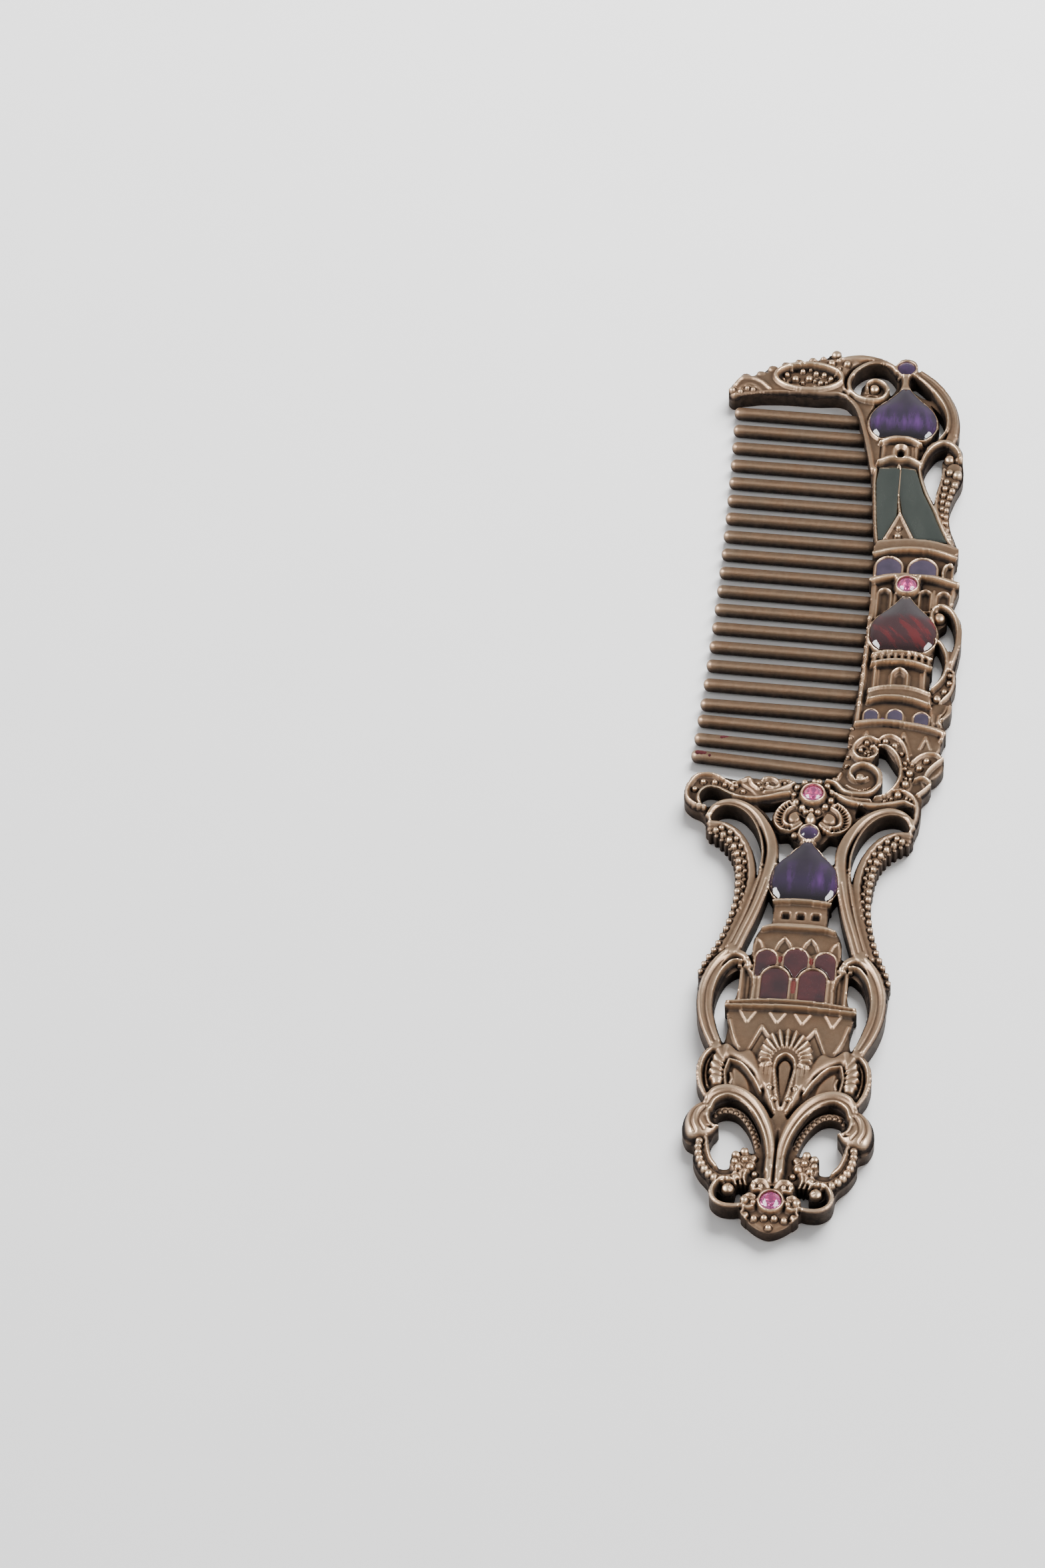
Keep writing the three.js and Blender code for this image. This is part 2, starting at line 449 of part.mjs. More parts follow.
function handleArms() {
  const arch = [[-15.8, -5.5], [-15.2, -4], [-13.8, -2.9], [-12, -2.6], [-10, -3.3], [-8, -5.2], [-6.6, -8],
    [-5.9, -11.4], [-5.9, -14.6], [-6.4, -18], [-7.5, -22.4], [-8.9, -26.6], [-10.3, -30.2]];
  const inner = [[-15.6, -6.7], [-13.4, -7], [-11.2, -8.6], [-9.4, -11.4], [-8.3, -14.4], [-7.8, -17.2],
    [-8, -20], [-8.9, -24], [-10.4, -28.6]];
  const beadRow = [[-15.2, -7.6], [-13, -9], [-11.4, -10.8], [-10.3, -13], [-9.8, -15.4], [-9.6, -18],
    [-9.8, -21], [-10.3, -24.4], [-11, -27.8], [-12, -31], [-13.2, -33.8], [-14, -36]];
  const ringArm = [[-7.3, -33.6], [-8, -32.3], [-9.4, -31.9], [-11, -32.8], [-12.4, -35.4], [-13, -39],
    [-12.8, -43], [-12, -46.4], [-10.8, -49.4]];
  const left = [[arch, 1.7, TOP - 0.2], [inner, 0.9, LEDGE], [beadRow, 1.3, CROWN],
    [ringArm, 1.9, TOP - 0.2]];
  return ribPairs(left);
}

function gripTower() {
  const niche = (x, half, top, low) => rib([[x - half, low], [x, top], [x + half, low]], 0.35, LEDGE, 1);
  return [
    rim(domeOutline(0, -21.3, -9.4, 5.5), 0.45, CROWN),
    rib([[-4.2, -21.5], [0, -21.2], [4.2, -21.5]], 0.6, CROWN),
    boss(corners([[-4, -26], [4, -26], [4, -21.6], [-4, -21.6]]), FIELD + 0.5),
    rib([[-5.6, -26.9], [-3, -26.4], [0, -26.3], [3, -26.4], [5.6, -26.9]], 0.8, CROWN),
    niche(-2, 1.2, -28.1, -30.5),
    niche(2, 1.2, -28.1, -30.5),
    ...[upperSide, upperMiddle, flip(upperSide)].map(
      (points) => rim(shrink(corners(points), -0.2), 0.4, LEDGE)),
    ...[-2.85, 2.85].map((x) => rim(archOutline(x, -40, -33.85, 2.3), 0.4, LEDGE)),
    ...[-8, 8].map((x) => rib([[x, -34.2], [x, -40]], 0.5, LEDGE)),
    rib([[-9.4, -41.2], [-5, -40.6], [0, -40.4], [5, -40.6], [9.4, -41.2]], 0.7, CROWN),
    rib([[-9.4, -42.1], [-5, -41.7], [0, -41.5], [5, -41.7], [9.4, -42.1]], 0.7, CROWN),
    ...[-6.4, -1.9, 1.9, 6.4].map((x) => rib([[x - 1.1, -42.6], [x, -44.5],
      [x + 1.1, -42.6]], 0.3, LEDGE, 1)),
    ...ribPairs([[[[-8.9, -44.4], [-7.4, -49]], 0.4, LEDGE], [[[-5.9, -50], [-4, -45.2],
      [-2.3, -47.7]], 0.4, LEDGE]]),
  ];
}

function palmette() {
  const fan = [[-2.2, -58], [-4.2, -52], [-3.6, -49.2], [-2, -47], [-0.4, -46]];
  const drop = [[0, -59.4], [-0.8, -56.6], [-1.6, -52.4], [-0.9, -50.7], [0, -50.2]];
  const leaf = [[-3, -58], [-4.6, -55], [-6.8, -52.6], [-8.6, -51.6], [-8.9, -54], [-8.6, -56.6]];
  const bulge = [[-11.2, -50.4], [-12.4, -52.4], [-12.7, -54.4], [-12.3, -57], [-11.2, -59.2]];
  const cheek = [[-9.6, -49.4], [-10.4, -51.4], [-10.4, -53.6], [-10, -56]];
  const left = [[leaf, 0.7, LEDGE], [cheek, 1.7, LEDGE], [bulge, 0.9, CROWN]];
  return [
    boss(loop([...fan, ...flip(fan)]), CROWN - 0.3),
    rim(loop([...drop, ...flip(drop.slice(1, -1))]), 0.5, CROWN),
    ...ribPairs(left),
  ];
}

function pommel() {
  const arm = [[-0.6, -73.2], [-0.7, -70], [-0.9, -67], [-1.6, -64], [-2.8, -61.4], [-4.4, -59.3],
    [-6.2, -58.1], [-8.2, -57.6], [-10, -58.4], [-10.9, -60.4]];
  const knob = [[-11.6, -61], [-13.1, -62.2], [-13.4, -64.4], [-12.6, -66.2], [-10.8, -66]];
  const lowerRing = [[-11.4, -67], [-11.3, -69], [-10.2, -71.6], [-8.4, -73], [-5.4, -72.8]];
  const scroll = [[-5.8, -73.8], [-7.6, -73.8], [-8.7, -75.2], [-8.4, -76.9], [-7, -77.9], [-4.8, -78]];
  const left = [[arm, 1.8, TOP - 0.2], [knob, 2, TOP - 0.2], [lowerRing, 1.5, CROWN], [scroll, 0.9, CROWN]];
  const petals = [[-1.6, -74.3], [1.6, -74.3], [-3.2, -77], [3.2, -77], [-1.5, -79.4], [1.5, -79.4]];
  return [
    ...ribPairs(left),
    ...petals.map(([x, y]) => boss(ring(x, y, 1.35, 8), LEDGE + 0.3)),
    stoneBezel(0, -76.8),
    ...beads(bothSides([[-4.6, -69.5], [-6.5, -75]]), 1, CROWN),
    ...beads(bothSides([[-3.6, -79.3], [-2.2, -80.1], [-0.7, -80], [-3.8, -77.4]]), 0.5, TOP),
    bead(0, -81.3, 0.5, CROWN),
  ];
}

// ---------------------------------------------------------------------------------------------------------
// Assembly

const comb = new THREE.Group();

function addNode(name, geometry, material) {
  comb.add(Object.assign(new THREE.Mesh(geometry, material), { name }));
}

function toGeometry(solid) {
  const { vertProperties, triVerts } = solid.getMesh();
  const geometry = new THREE.BufferGeometry();
  geometry.setAttribute("position", new THREE.Float32BufferAttribute(vertProperties, 3));
  geometry.setIndex([...triVerts]);
  geometry.computeVertexNormals();
  return geometry;
}

function casting() {
  const raised = [
    ...endGuard(), ...roofSection(), ...domeSection(), ...crossguard(),
    ...handleArms(), ...gripTower(), ...palmette(), ...pommel()];
  const body = join([slab(plateOutline, 0, FIELD), ...raised]);
  const seatOutlines = stones.map(([, x, y]) => ring(x, y, STONE_RADIUS + CELL_GAP));
  const pocketOutlines = [...cells.map(([, outline]) => outline), ...seatOutlines];
  const pockets = pocketOutlines.map((outline) => slab(outline, CELL_FLOOR, TOP + OVERRUN));
  return body.subtract(join([...openings(), ...pockets]));
}

// Where the casting is divided: along collars, necks and the outer edges of the handle's arches
const archEdge = [[-18.4, -6.4], [-17, -5.1], [-16, -3.9], [-14.7, -2.6], [-13, -1.8], [-11, -1.9],
  [-9.2, -2.8], [-7.6, -4.4], [-6.4, -6.2], [-5.6, -7.8], [-4.2, -9.8]];
const domeEdge = [[-4.2, -12.4], [-5.1, -13.5], [-5.8, -15.2], [-5.95, -17], [-5.6, -18.8], [-4.9, -20.6]];
const shoulder = [[-7.2, -29.6], [-6.9, -32], [-7, -33.4], [-8, -34.3], [-8.9, -36.2]];
const ringFoot = [[-9.5, -47], [-9.9, -51]];
const cuts = [
  [[-2, 72], [26, 72]],
  [[3, 50.9], [6, 51.5], [12.5, 52.5], [17, 52], [22, 50.9]],
  [[2, 19.1], [7, 19.4], [11.7, 20.3], [17, 19], [24, 18.2]],
  [[-1.6, -9.5], [1.6, -9.5]],
  ...[archEdge, domeEdge, shoulder, ringFoot].flatMap((path) => [path, flip(path)]),
  [[-16, -50.2], [16, -50.2]],
  [[-16, -56.2], [16, -56.2]],
];

// Each section's name and the middle of its bounding box, by which it is known after the cuts
const sections = [
  ["end_guard", 0, 88], ["roof_section", 12, 62], ["dome_section", 13, 36], ["crossguard", 0, 5],
  ["left_arm", -10.5, -26], ["right_arm", 10.5, -26], ["grip_tower", 0, -30], ["palmette", 0, -53],
  ["pommel", 0, -69],
];

const parts = casting().subtract(join(cuts.map((path) => through(band(path, GAP, 1))))).decompose();
for (const [name, x, y] of sections) {
  const distance = (solid) => {
    const { min, max } = solid.boundingBox();
    return Math.hypot((min[0] + max[0]) / 2 - x, (min[1] + max[1]) / 2 - y);
  };
  const nearest = parts.reduce((best, solid) => (distance(solid) < distance(best) ? solid : best));
  addNode(name, toGeometry(nearest.simplify(SMALLEST_DETAIL)), copper);
}

for (const [name, outline, material, high] of cells) {
  addNode(name, cabochon(shrink(outline, CELL_GAP), CELL_FLOOR + CELL_GAP, ENAMEL_FACE, high), material);
}

// A round stone: a pointed pavilion, a girdle and a flat table
for (const [name, x, y] of stones) {
  const profile = [[0, 1.9], [STONE_RADIUS, 3.4], [STONE_RADIUS, 3.6], [STONE_RADIUS * 0.6, TOP], [0, TOP]];
  const stone = new THREE.LatheGeometry(profile.map(([r, z]) => new THREE.Vector2(r, z)), 12);
  stone.rotateX(Math.PI / 2);
  const mesh = Object.assign(new THREE.Mesh(stone, pink), { name });
  mesh.position.set(x, y, 0);
  comb.add(mesh);
}

// The x of the spine's left edge at a height along the comb
function spineEdge(y) {
  const edge = leftOfHead.filter(([x]) => x >= 0).sort((a, b) => a[1] - b[1]);
  const above = Math.max(1, edge.findIndex(([, edgeY]) => edgeY >= y));
  const [[x0, y0], [x1, y1]] = [edge[above - 1], edge[above]];
  return x0 + ((y - y0) / (y1 - y0)) * (x1 - x0);
}

// Teeth: straight rods with a rounded tip. The line of tips bows in slightly towards mid comb.
for (let i = 0; i < TOOTH_COUNT; i++) {
  const y = FIRST_TOOTH + i * TOOTH_PITCH;
  const middle = (TOOTH_COUNT - 1) / 2;
  const tip = TIP_LINE - TIP_BOW * ((i - middle) / middle) ** 2;
  const half = TOOTH_WIDTH / 2;
  const root = Math.min(spineEdge(y - half), spineEdge(y + half)) - GAP;
  const rise = Math.tan(THREE.MathUtils.degToRad(LOW_TILTS[i] ?? USUAL_TILT)) * (root - tip);
  const outline = corners([[root, y - half], [root, y + half]]);
  for (let step = 0; step <= 4; step++) {
    const angle = Math.PI / 2 + (step / 4) * Math.PI;
    const [across, up] = [half * Math.cos(angle), 0.9 * half * Math.sin(angle)];
    outline.push(new THREE.Vector2(tip + half + across, y + rise + up));
  }
  const tooth = slab(outline, 0, TOOTH_HEIGHT, TOOTH_BEVEL);
  addNode(`tooth_${String(i + 1).padStart(2, "0")}`, toGeometry(tooth), copper);
}

export default comb;
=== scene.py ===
"""Decorative hair comb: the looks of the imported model.

The frame's part lies on its flat back on z = 0, decorated face up, teeth along -X, handle along -Y, with the
origin under the crossguard stone. Shapes here are worked out in millimetres, in that same frame, and turned
into metres where a mesh is made.
"""
import bpy
import json
import math
import numpy as np
from mathutils import Matrix, Vector
from mathutils.geometry import delaunay_2d_cdt

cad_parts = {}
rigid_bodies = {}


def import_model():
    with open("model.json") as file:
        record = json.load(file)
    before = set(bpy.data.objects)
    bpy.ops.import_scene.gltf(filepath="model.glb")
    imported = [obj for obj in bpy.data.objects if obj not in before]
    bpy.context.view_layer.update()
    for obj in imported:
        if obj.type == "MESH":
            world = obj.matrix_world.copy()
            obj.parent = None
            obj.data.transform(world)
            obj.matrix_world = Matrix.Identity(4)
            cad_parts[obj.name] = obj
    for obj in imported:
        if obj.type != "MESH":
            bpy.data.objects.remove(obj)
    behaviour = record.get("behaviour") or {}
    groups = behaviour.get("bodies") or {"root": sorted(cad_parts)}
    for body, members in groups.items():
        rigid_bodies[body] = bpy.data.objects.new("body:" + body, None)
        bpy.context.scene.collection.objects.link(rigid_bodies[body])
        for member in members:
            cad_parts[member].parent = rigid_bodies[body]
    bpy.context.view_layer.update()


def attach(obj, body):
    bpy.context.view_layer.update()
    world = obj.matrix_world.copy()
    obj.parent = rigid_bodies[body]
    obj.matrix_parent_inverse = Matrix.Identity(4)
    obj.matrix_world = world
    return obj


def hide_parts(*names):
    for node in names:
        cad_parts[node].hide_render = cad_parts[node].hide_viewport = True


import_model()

MM = 0.001
CELL = 0.1            # spacing of the relief's grid, mm
FAR = 9.0             # a distance beyond any that is measured on the grid, mm

FIELD = 2.4           # height of the recessed faces above the back, mm
EDGE = 0.28           # rounding along every outline and opening, mm

# Grains: how far out and how deep a dark ring runs round each, mm
GRAIN_MARGIN = 0.3
GRAIN_RING_OUT = 0.1
GRAIN_RING_HALF = 0.16
GRAIN_RING_DEPTH = 0.2

# Wear: metal is bright where it stands above its surroundings, near and broad (in cells), and dark where it
# lies low
NEAR, NEAR_GAIN = 5, 1.05
BROAD, BROAD_GAIN = 14, 0.28

# Recesses that enamel and stones fill, mm
CELL_FLOOR, CELL_WALL = 1.8, 0.25
SEAT_FLOOR, SEAT_WALL = 1.7, 0.05

# The casting's wall below its face: a shoulder, a foot and a back drawn in a little, with the colour level of
# each. The shoulder and foot are dark with patina and painted shade.
FOOT_HEIGHT = 0.18
SHOULDER_SHARE = 0.86
BACK_INSET = 0.1
SHOULDER_PATINA_AND_SHADE, FOOT_PATINA_AND_SHADE, BACK_WEAR = 0.1, 0.02, 0.5

# Teeth, mm and degrees
TOOTH_COUNT = 20
TOOTH_PITCH = 4.04
FIRST_TOOTH = 6.0
TOOTH_WIDTH = 1.9
TOOTH_HEIGHT = 2.4
TOOTH_TILTS = (4.8, 3.5, 3.0, 1.6)    # of the first teeth
USUAL_TILT = 2.0
TIP_LINE = -19.2                      # x of the middle teeth's tips

STONE_RADIUS = 1.55
STONE_GAP = 0.02      # between a stone and its seat, and its own foil


# ---------------------------------------------------------------------------------------------------------
# Plane curves

def smooth(points, closed=False, step=0.2):
    """A centripetal Catmull-Rom curve through the points, resampled about every step mm."""
    p = np.asarray(points, float)
    if closed:
        p = np.vstack([p[-1], p, p[0], p[1]])
    else:
        p = np.vstack([2 * p[0] - p[1], p, 2 * p[-1] - p[-2]])
    out = []
    for a, b, c, d in zip(p[:-3], p[1:-2], p[2:-1], p[3:]):
        t1 = math.sqrt(np.hypot(*(b - a))) + 1e-9
        t2 = t1 + math.sqrt(np.hypot(*(c - b))) + 1e-9
        t3 = t2 + math.sqrt(np.hypot(*(d - c))) + 1e-9
        count = max(2, int(math.ceil(np.hypot(*(c - b)) / step)))
        t = np.linspace(t1, t2, count, endpoint=False)[:, None]
        a1 = (t1 - t) / t1 * a + t / t1 * b
        a2 = (t2 - t) / (t2 - t1) * b + (t - t1) / (t2 - t1) * c
        a3 = (t3 - t) / (t3 - t2) * c + (t - t2) / (t3 - t2) * d
        b1 = (t2 - t) / t2 * a1 + t / t2 * a2
        b2 = (t3 - t) / (t3 - t1) * a2 + (t - t1) / (t3 - t1) * a3
        out.append((t2 - t) / (t2 - t1) * b1 + (t - t1) / (t2 - t1) * b2)
    if not closed:
        out.append(p[-2][None])
    return np.vstack(out)


def flip(points):
    """The points mirrored across the handle's middle line, in the other order."""
    return [(-x, y) for x, y in reversed(points)]


def sided(side, points):
    """The points as drawn where side is 1, and mirrored where it is -1. Other values widen them too."""
    return [(side * x, y) for x, y in points]


def mirrored(points):
    """The points on both sides of the handle's middle line."""
    return points, sided(-1, points)


def whole(half):
    """A symmetrical outline, from the half of it that runs from one end of the middle line to the other."""
    return half + flip(half[1:-1])


def along_path(path):
    """How far along a path each of its points lies, in mm."""
    return np.concatenate([[0], np.cumsum(np.hypot(*np.diff(path, axis=0).T))])


def ellipse(x, y, across, up=None, count=72):
    angle = np.linspace(0, 2 * math.pi, count, endpoint=False)
    return np.column_stack([x + across * np.cos(angle), y + (up or across) * np.sin(angle)])


def oblong(x, y, across, up):
    return [(x - across, y - up), (x + across, y - up), (x + across, y + up), (x - across, y + up)]


def arch(x, low, high, half, point=0.0, count=18):
    """A window outline: straight jambs and a round head, drawn up to a point by point mm."""
    angle = np.linspace(0, math.pi, count)
    head = np.column_stack([x + half * np.cos(angle), high - half - point + half * np.sin(angle)])
    head[:, 1] += point * np.maximum(0, 1 - np.abs(head[:, 0] - x) / half) ** 1.5
    return np.vstack([[x - half, low], [x + half, low], head])


def onion(x, low, tip, reach):
    """The outline of an onion dome: a narrow foot, a full belly and a drawn-out tip."""
    half = [(0.68, 0), (0.86, 0.08), (0.98, 0.2), (1, 0.34), (0.94, 0.48), (0.74, 0.63), (0.46, 0.77),
            (0.24, 0.9)]
    right = [(x + a * reach, low + b * (tip - low)) for a, b in half]
    left = [(x - a * reach, low + b * (tip - low)) for a, b in reversed(half)]
    side = smooth(right + [(x + 0.1 * reach, tip)])
    other = smooth([(x - 0.1 * reach, tip)] + left)
    return np.vstack([side, other])


# ---------------------------------------------------------------------------------------------------------
# The relief: a height field on a grid, with a signed distance to its outline

class Relief:
    """solid is the distance inside the outline in mm, below 0 outside it, and top the height of the face.
    sheet, pillow, curl, hollow and score are plate, cushion, rib, pit and groove along a smooth curve."""

    def __init__(self, low, high, cell):
        self.cell = cell
        self.x = np.arange(low[0], high[0] + cell, cell)
        self.y = np.arange(low[1], high[1] + cell, cell)
        shape = (len(self.y), len(self.x))
        self.solid = np.full(shape, -FAR)
        self.top = np.zeros(shape)
        self.grains = []
        self.wells = []

    def window(self, points, margin):
        lo = np.min(points, axis=0) - margin
        hi = np.max(points, axis=0) + margin
        i0, i1 = np.searchsorted(self.x, (lo[0], hi[0]))
        j0, j1 = np.searchsorted(self.y, (lo[1], hi[1]))
        return slice(j0, max(j1, j0 + 1)), slice(i0, max(i1, i0 + 1))

    def distance(self, path, reach):
        """Distance to a polyline, out to reach, and how far along it (0 to 1) the near point is."""
        path = np.asarray(path, float)
        area = self.window(path, reach)
        ys, xs = self.y[area[0]], self.x[area[1]]
        d = np.full((len(ys), len(xs)), FAR)
        along = np.zeros_like(d)
        start = along_path(path)
        for k, length in enumerate(np.diff(start)):
            if length < 1e-9:
                continue
            a, b = path[k], path[k + 1]
            i0, i1 = np.searchsorted(xs, (min(a[0], b[0]) - reach, max(a[0], b[0]) + reach))
            j0, j1 = np.searchsorted(ys, (min(a[1], b[1]) - reach, max(a[1], b[1]) + reach))
            if i1 <= i0 or j1 <= j0:
                continue
            px = xs[i0:i1][None] - a[0]
            py = ys[j0:j1][:, None] - a[1]
            ux, uy = (b - a) / length
            t = np.clip(px * ux + py * uy, 0, length)
            near = np.hypot(px - t * ux, py - t * uy)
            part = (slice(j0, j1), slice(i0, i1))
            better = near < d[part]
            d[part] = np.where(better, near, d[part])
            along[part] = np.where(better, (start[k] + t) / start[-1], along[part])
        return area, d, along

    def inside(self, outline, reach=1.5):
        """Signed distance to a closed outline, above 0 inside it."""
        outline = np.asarray(outline, float)
        closed = np.vstack([outline, outline[:1]])
        area, d, _ = self.distance(closed, reach)
        ys, xs = self.y[area[0]], self.x[area[1]]
        toggles = np.zeros((len(ys), len(xs) + 1), int)
        for a, b in zip(closed[:-1], closed[1:]):
            lo, hi = (a, b) if a[1] < b[1] else (b, a)
            j0, j1 = np.searchsorted(ys, (lo[1], hi[1]))
            if j1 <= j0:
                continue
            cross = lo[0] + (ys[j0:j1] - lo[1]) / (hi[1] - lo[1]) * (hi[0] - lo[0])
            np.add.at(toggles, (np.arange(j0, j1), np.searchsorted(xs, cross)), 1)
        odd = np.cumsum(toggles, axis=1)[:, :-1] % 2 == 1
        d = np.minimum(d, reach)
        return area, np.where(odd, d, -d)

    def raise_to(self, area, s, height):
        """Adds material where s is above 0, and lets the outline grow to it."""
        self.top[area] = np.where(s > 0, np.maximum(self.top[area], height), self.top[area])
        self.solid[area] = np.maximum(self.solid[area], s)

    def plate(self, outline, height):
        area, s = self.inside(outline)
        self.raise_to(area, s, height)

    def sheet(self, points, height):
        self.plate(smooth(points, True), height)

    def cushion(self, outline, low, high, reach):
        """A plate that swells from low at its edge to high, reach mm in."""
        area, s = self.inside(outline, max(reach, 1.5))
        u = np.clip(s / reach, 0, 1)
        self.raise_to(area, s, low + (high - low) * np.sqrt(1 - (1 - u) ** 2))

    def pillow(self, points, low, high, reach):
        self.cushion(smooth(points, True), low, high, reach)

    def rib(self, path, width, height, crown=None):
        """A rounded rib. width may be several widths, spread evenly along the path. crown is how much lower
        its edges are than its middle."""
        widths = np.atleast_1d(width).astype(float)
        area, d, along = self.distance(path, widths.max() / 2 + 0.6)
        half = np.interp(along, np.linspace(0, 1, len(widths)), widths) / 2
        fall = np.minimum(0.6 * half, height - FIELD + 0.3) if crown is None else crown
        u = np.clip(d / half, 0, 1)
        self.raise_to(area, half - d, height - fall * (1 - np.sqrt(1 - u ** 3)))

    def curl(self, points, width, height, crown=None):
        self.rib(smooth(points), width, height, crown)

    def rim(self, outline, width, height, crown=None):
        self.rib(np.vstack([outline, outline[:1]]), width, height, crown)

    def hole(self, outline):
        area, s = self.inside(outline)
        self.solid[area] = np.minimum(self.solid[area], -s)

    def pit(self, outline, floor, wall=0.12):
        """Sinks a flat-bottomed recess with sloping walls."""
        area, s = self.inside(outline)
        level = floor + np.clip(1 - s / wall, 0, 1) * (self.top[area] - floor)
        self.top[area] = np.where(s > 0, np.minimum(self.top[area], level), self.top[area])

    def hollow(self, points, floor, wall):
        self.pit(smooth(points, True), floor, wall)

    def well(self, outline, floor, wall):
        """A recess for enamel or a stone. It is cut last, so that its edge isn't taken for a worn one."""
        area, s = self.inside(outline)
        self.wells.append((area, s, floor, wall))

    def groove(self, path, width, depth):
        area, d, _ = self.distance(path, width)
        self.top[area] -= depth * np.clip(1 - (d / (width / 2)) ** 2, 0, 1)

    def score(self, points, width, depth):
        self.groove(smooth(points), width, depth)

    def bead(self, x, y, radius, crest):
        """A round grain."""
        area = self.window(np.array([[x, y]]), radius + GRAIN_MARGIN)
        d = np.hypot(self.x[area[1]][None] - x, self.y[area[0]][:, None] - y)
        around = self.top[area][(d < radius + GRAIN_MARGIN) & (self.solid[area] > 0)]
        floor = np.percentile(around, 30) if len(around) else FIELD
        crest = min(crest, floor + 0.1 + 1.1 * radius)
        self.raise_to(area, radius - d, min(floor, crest - radius))
        self.grains.append((area, d, radius, crest))

    def beads(self, places, radius, crest):
        for x, y in places:
            self.bead(x, y, radius, crest)

    def bead_row(self, path, pitch, radius, crest, offset=0.0, phase=0.5):
        """Beads at a steady pitch along a path, set off to its left by offset. radius may be a pair."""
        first, last = radius if isinstance(radius, tuple) else (radius, radius)
        path = np.asarray(path, float)
        start = along_path(path)

        def at(s):
            return np.array([np.interp(s, start, path[:, n]) for n in (0, 1)])

        count = max(1, int(start[-1] / pitch))
        for k in range(count):
            s = (k + phase) * start[-1] / count
            x, y = at(s)
            ahead = at(s + CELL) - at(s - CELL)
            size = math.hypot(*ahead) or 1.0
            r = first + (last - first) * k / max(1, count - 1)
            self.bead(x - offset * ahead[1] / size, y + offset * ahead[0] / size, r, crest)

    def finish(self):
        """Rounds the outline, softens creases as casting does, shapes the grains, works out where metal is
        worn or dark, and cuts the wells."""
        inside = self.solid > 0
        near = np.clip(EDGE - self.solid, 0, EDGE)
        top = self.top - (EDGE - np.sqrt(EDGE ** 2 - near ** 2))
        weight = inside.astype(float)
        top = blur(top, weight, 1)
        for area, d, radius, crest in self.grains:
            ring = np.clip(1 - np.abs(d - radius - GRAIN_RING_OUT) / GRAIN_RING_HALF, 0, 1)
            ball = crest - radius * (1 - np.sqrt(np.clip(1 - (d / radius) ** 2, 0, 1)))
            top[area] = np.where(d < radius, np.maximum(top[area], ball),
                                 top[area] - GRAIN_RING_DEPTH * ring)
        above_near = NEAR_GAIN * (top - blur(top, weight, NEAR))
        above_broad = BROAD_GAIN * (top - blur(top, weight, BROAD))
        self.ridge = np.clip(0.5 + above_near + above_broad, 0, 1)
        for area, s, floor, wall in self.wells:
            level = floor + np.clip(1 - s / wall, 0, 1) * (top[area] - floor)
            top[area] = np.where(s > 0, np.minimum(top[area], level), top[area])
        for _ in range(3):   # heights just outside the outline, for the cut cells
            spread = blur(top, weight, 1)
            top = np.where(weight > 0, top, spread)
            grown = blur(weight, np.ones_like(weight), 1) > 0
            weight = np.maximum(weight, grown.astype(float))
        self.top = top


def blur(values, weight, radius):
    """A weighted box blur, twice over, of the given radius in cells."""
    def box(a):
        for axis in (0, 1):
            pad = [(0, 0), (0, 0)]
            pad[axis] = (radius + 1, radius)
            c = np.cumsum(np.pad(a, pad), axis=axis)
            n = 2 * radius + 1
            ahead, behind = np.arange(n, c.shape[axis]), np.arange(c.shape[axis] - n)
            a = np.take(c, ahead, axis) - np.take(c, behind, axis)
        return a
    total, amount = box(box(values * weight)), box(box(weight))
    return np.where(amount > 1e-6, total / np.maximum(amount, 1e-6), values)


# ---------------------------------------------------------------------------------------------------------
# Outlines of the casting, its openings and its enamel cells

HEAD = [
    (-21.1, 86), (-21.2, 88), (-20.1, 90.2), (-18.2, 91.3), (-16.3, 91.9), (-15.2, 93.0), (-13.5, 93.5),
    (-11.5, 94.6), (-8.5, 95.6), (-5.6, 96.2), (-4.7, 97.4), (-3.7, 97.9), (-2.9, 97.1), (0, 97), (3, 96.5),
    (6, 95.2), (7.3, 95.5), (8.3, 95.8), (9.6, 95.3), (10.5, 93.6), (13, 91.3), (15, 88.8), (16.6, 86),
    (17.7, 82.6), (18, 80), (17.8, 78.2), (18.8, 76), (19, 73.6), (19.3, 71), (19.1, 69), (18.4, 67),
    (17.7, 64.5), (17.4, 61.5), (17.9, 58), (18.9, 55.4), (19.5, 53.4), (19.3, 51.4), (18.9, 50.2),
    (18.9, 47.6), (20, 46.5), (20, 44.9), (19.5, 42.8), (19.4, 41), (20.4, 39.2), (21, 36.5), (21.1, 33),
    (20.7, 29.4), (20.5, 27.8), (20.8, 26), (20.7, 24), (20.2, 22.2), (20.5, 20.4), (20.3, 18.6),
    (19.3, 16.8), (19.8, 15), (19.5, 13), (19.2, 10.8), (19.8, 9.4), (19.9, 7.4), (19.0, 5.6), (17.9, 4.4),
    (18.1, 2.8), (17, 1), (16.7, -1), (16.9, -3.2), (16.5, -5.2),
]
GRIP = [
    (16.2, -6.4), (16.1, -7.7), (14.6, -8.7), (12.7, -10.3), (11.4, -12.4), (10.8, -14.6), (10.5, -17),
    (10.5, -20), (10.8, -23.5), (11.4, -26.8), (12.2, -29.6), (13.1, -32), (14, -34.4), (14.4, -37),
    (14.2, -41), (13.7, -44), (12.7, -47), (11.6, -49.6), (12.6, -51.4), (13.1, -54), (12.7, -56.8),
    (11.6, -59.3), (12.9, -60.6), (14, -62.6), (14.2, -65), (13.4, -67.0), (12.1, -67.9), (12.1, -70),
    (11.1, -72.2), (9.4, -74.3), (9.1, -76.2), (8.2, -77.8), (6.3, -78.3), (4.5, -78.4), (3.4, -80),
    (2, -81.2), (0.5, -81.9),
]
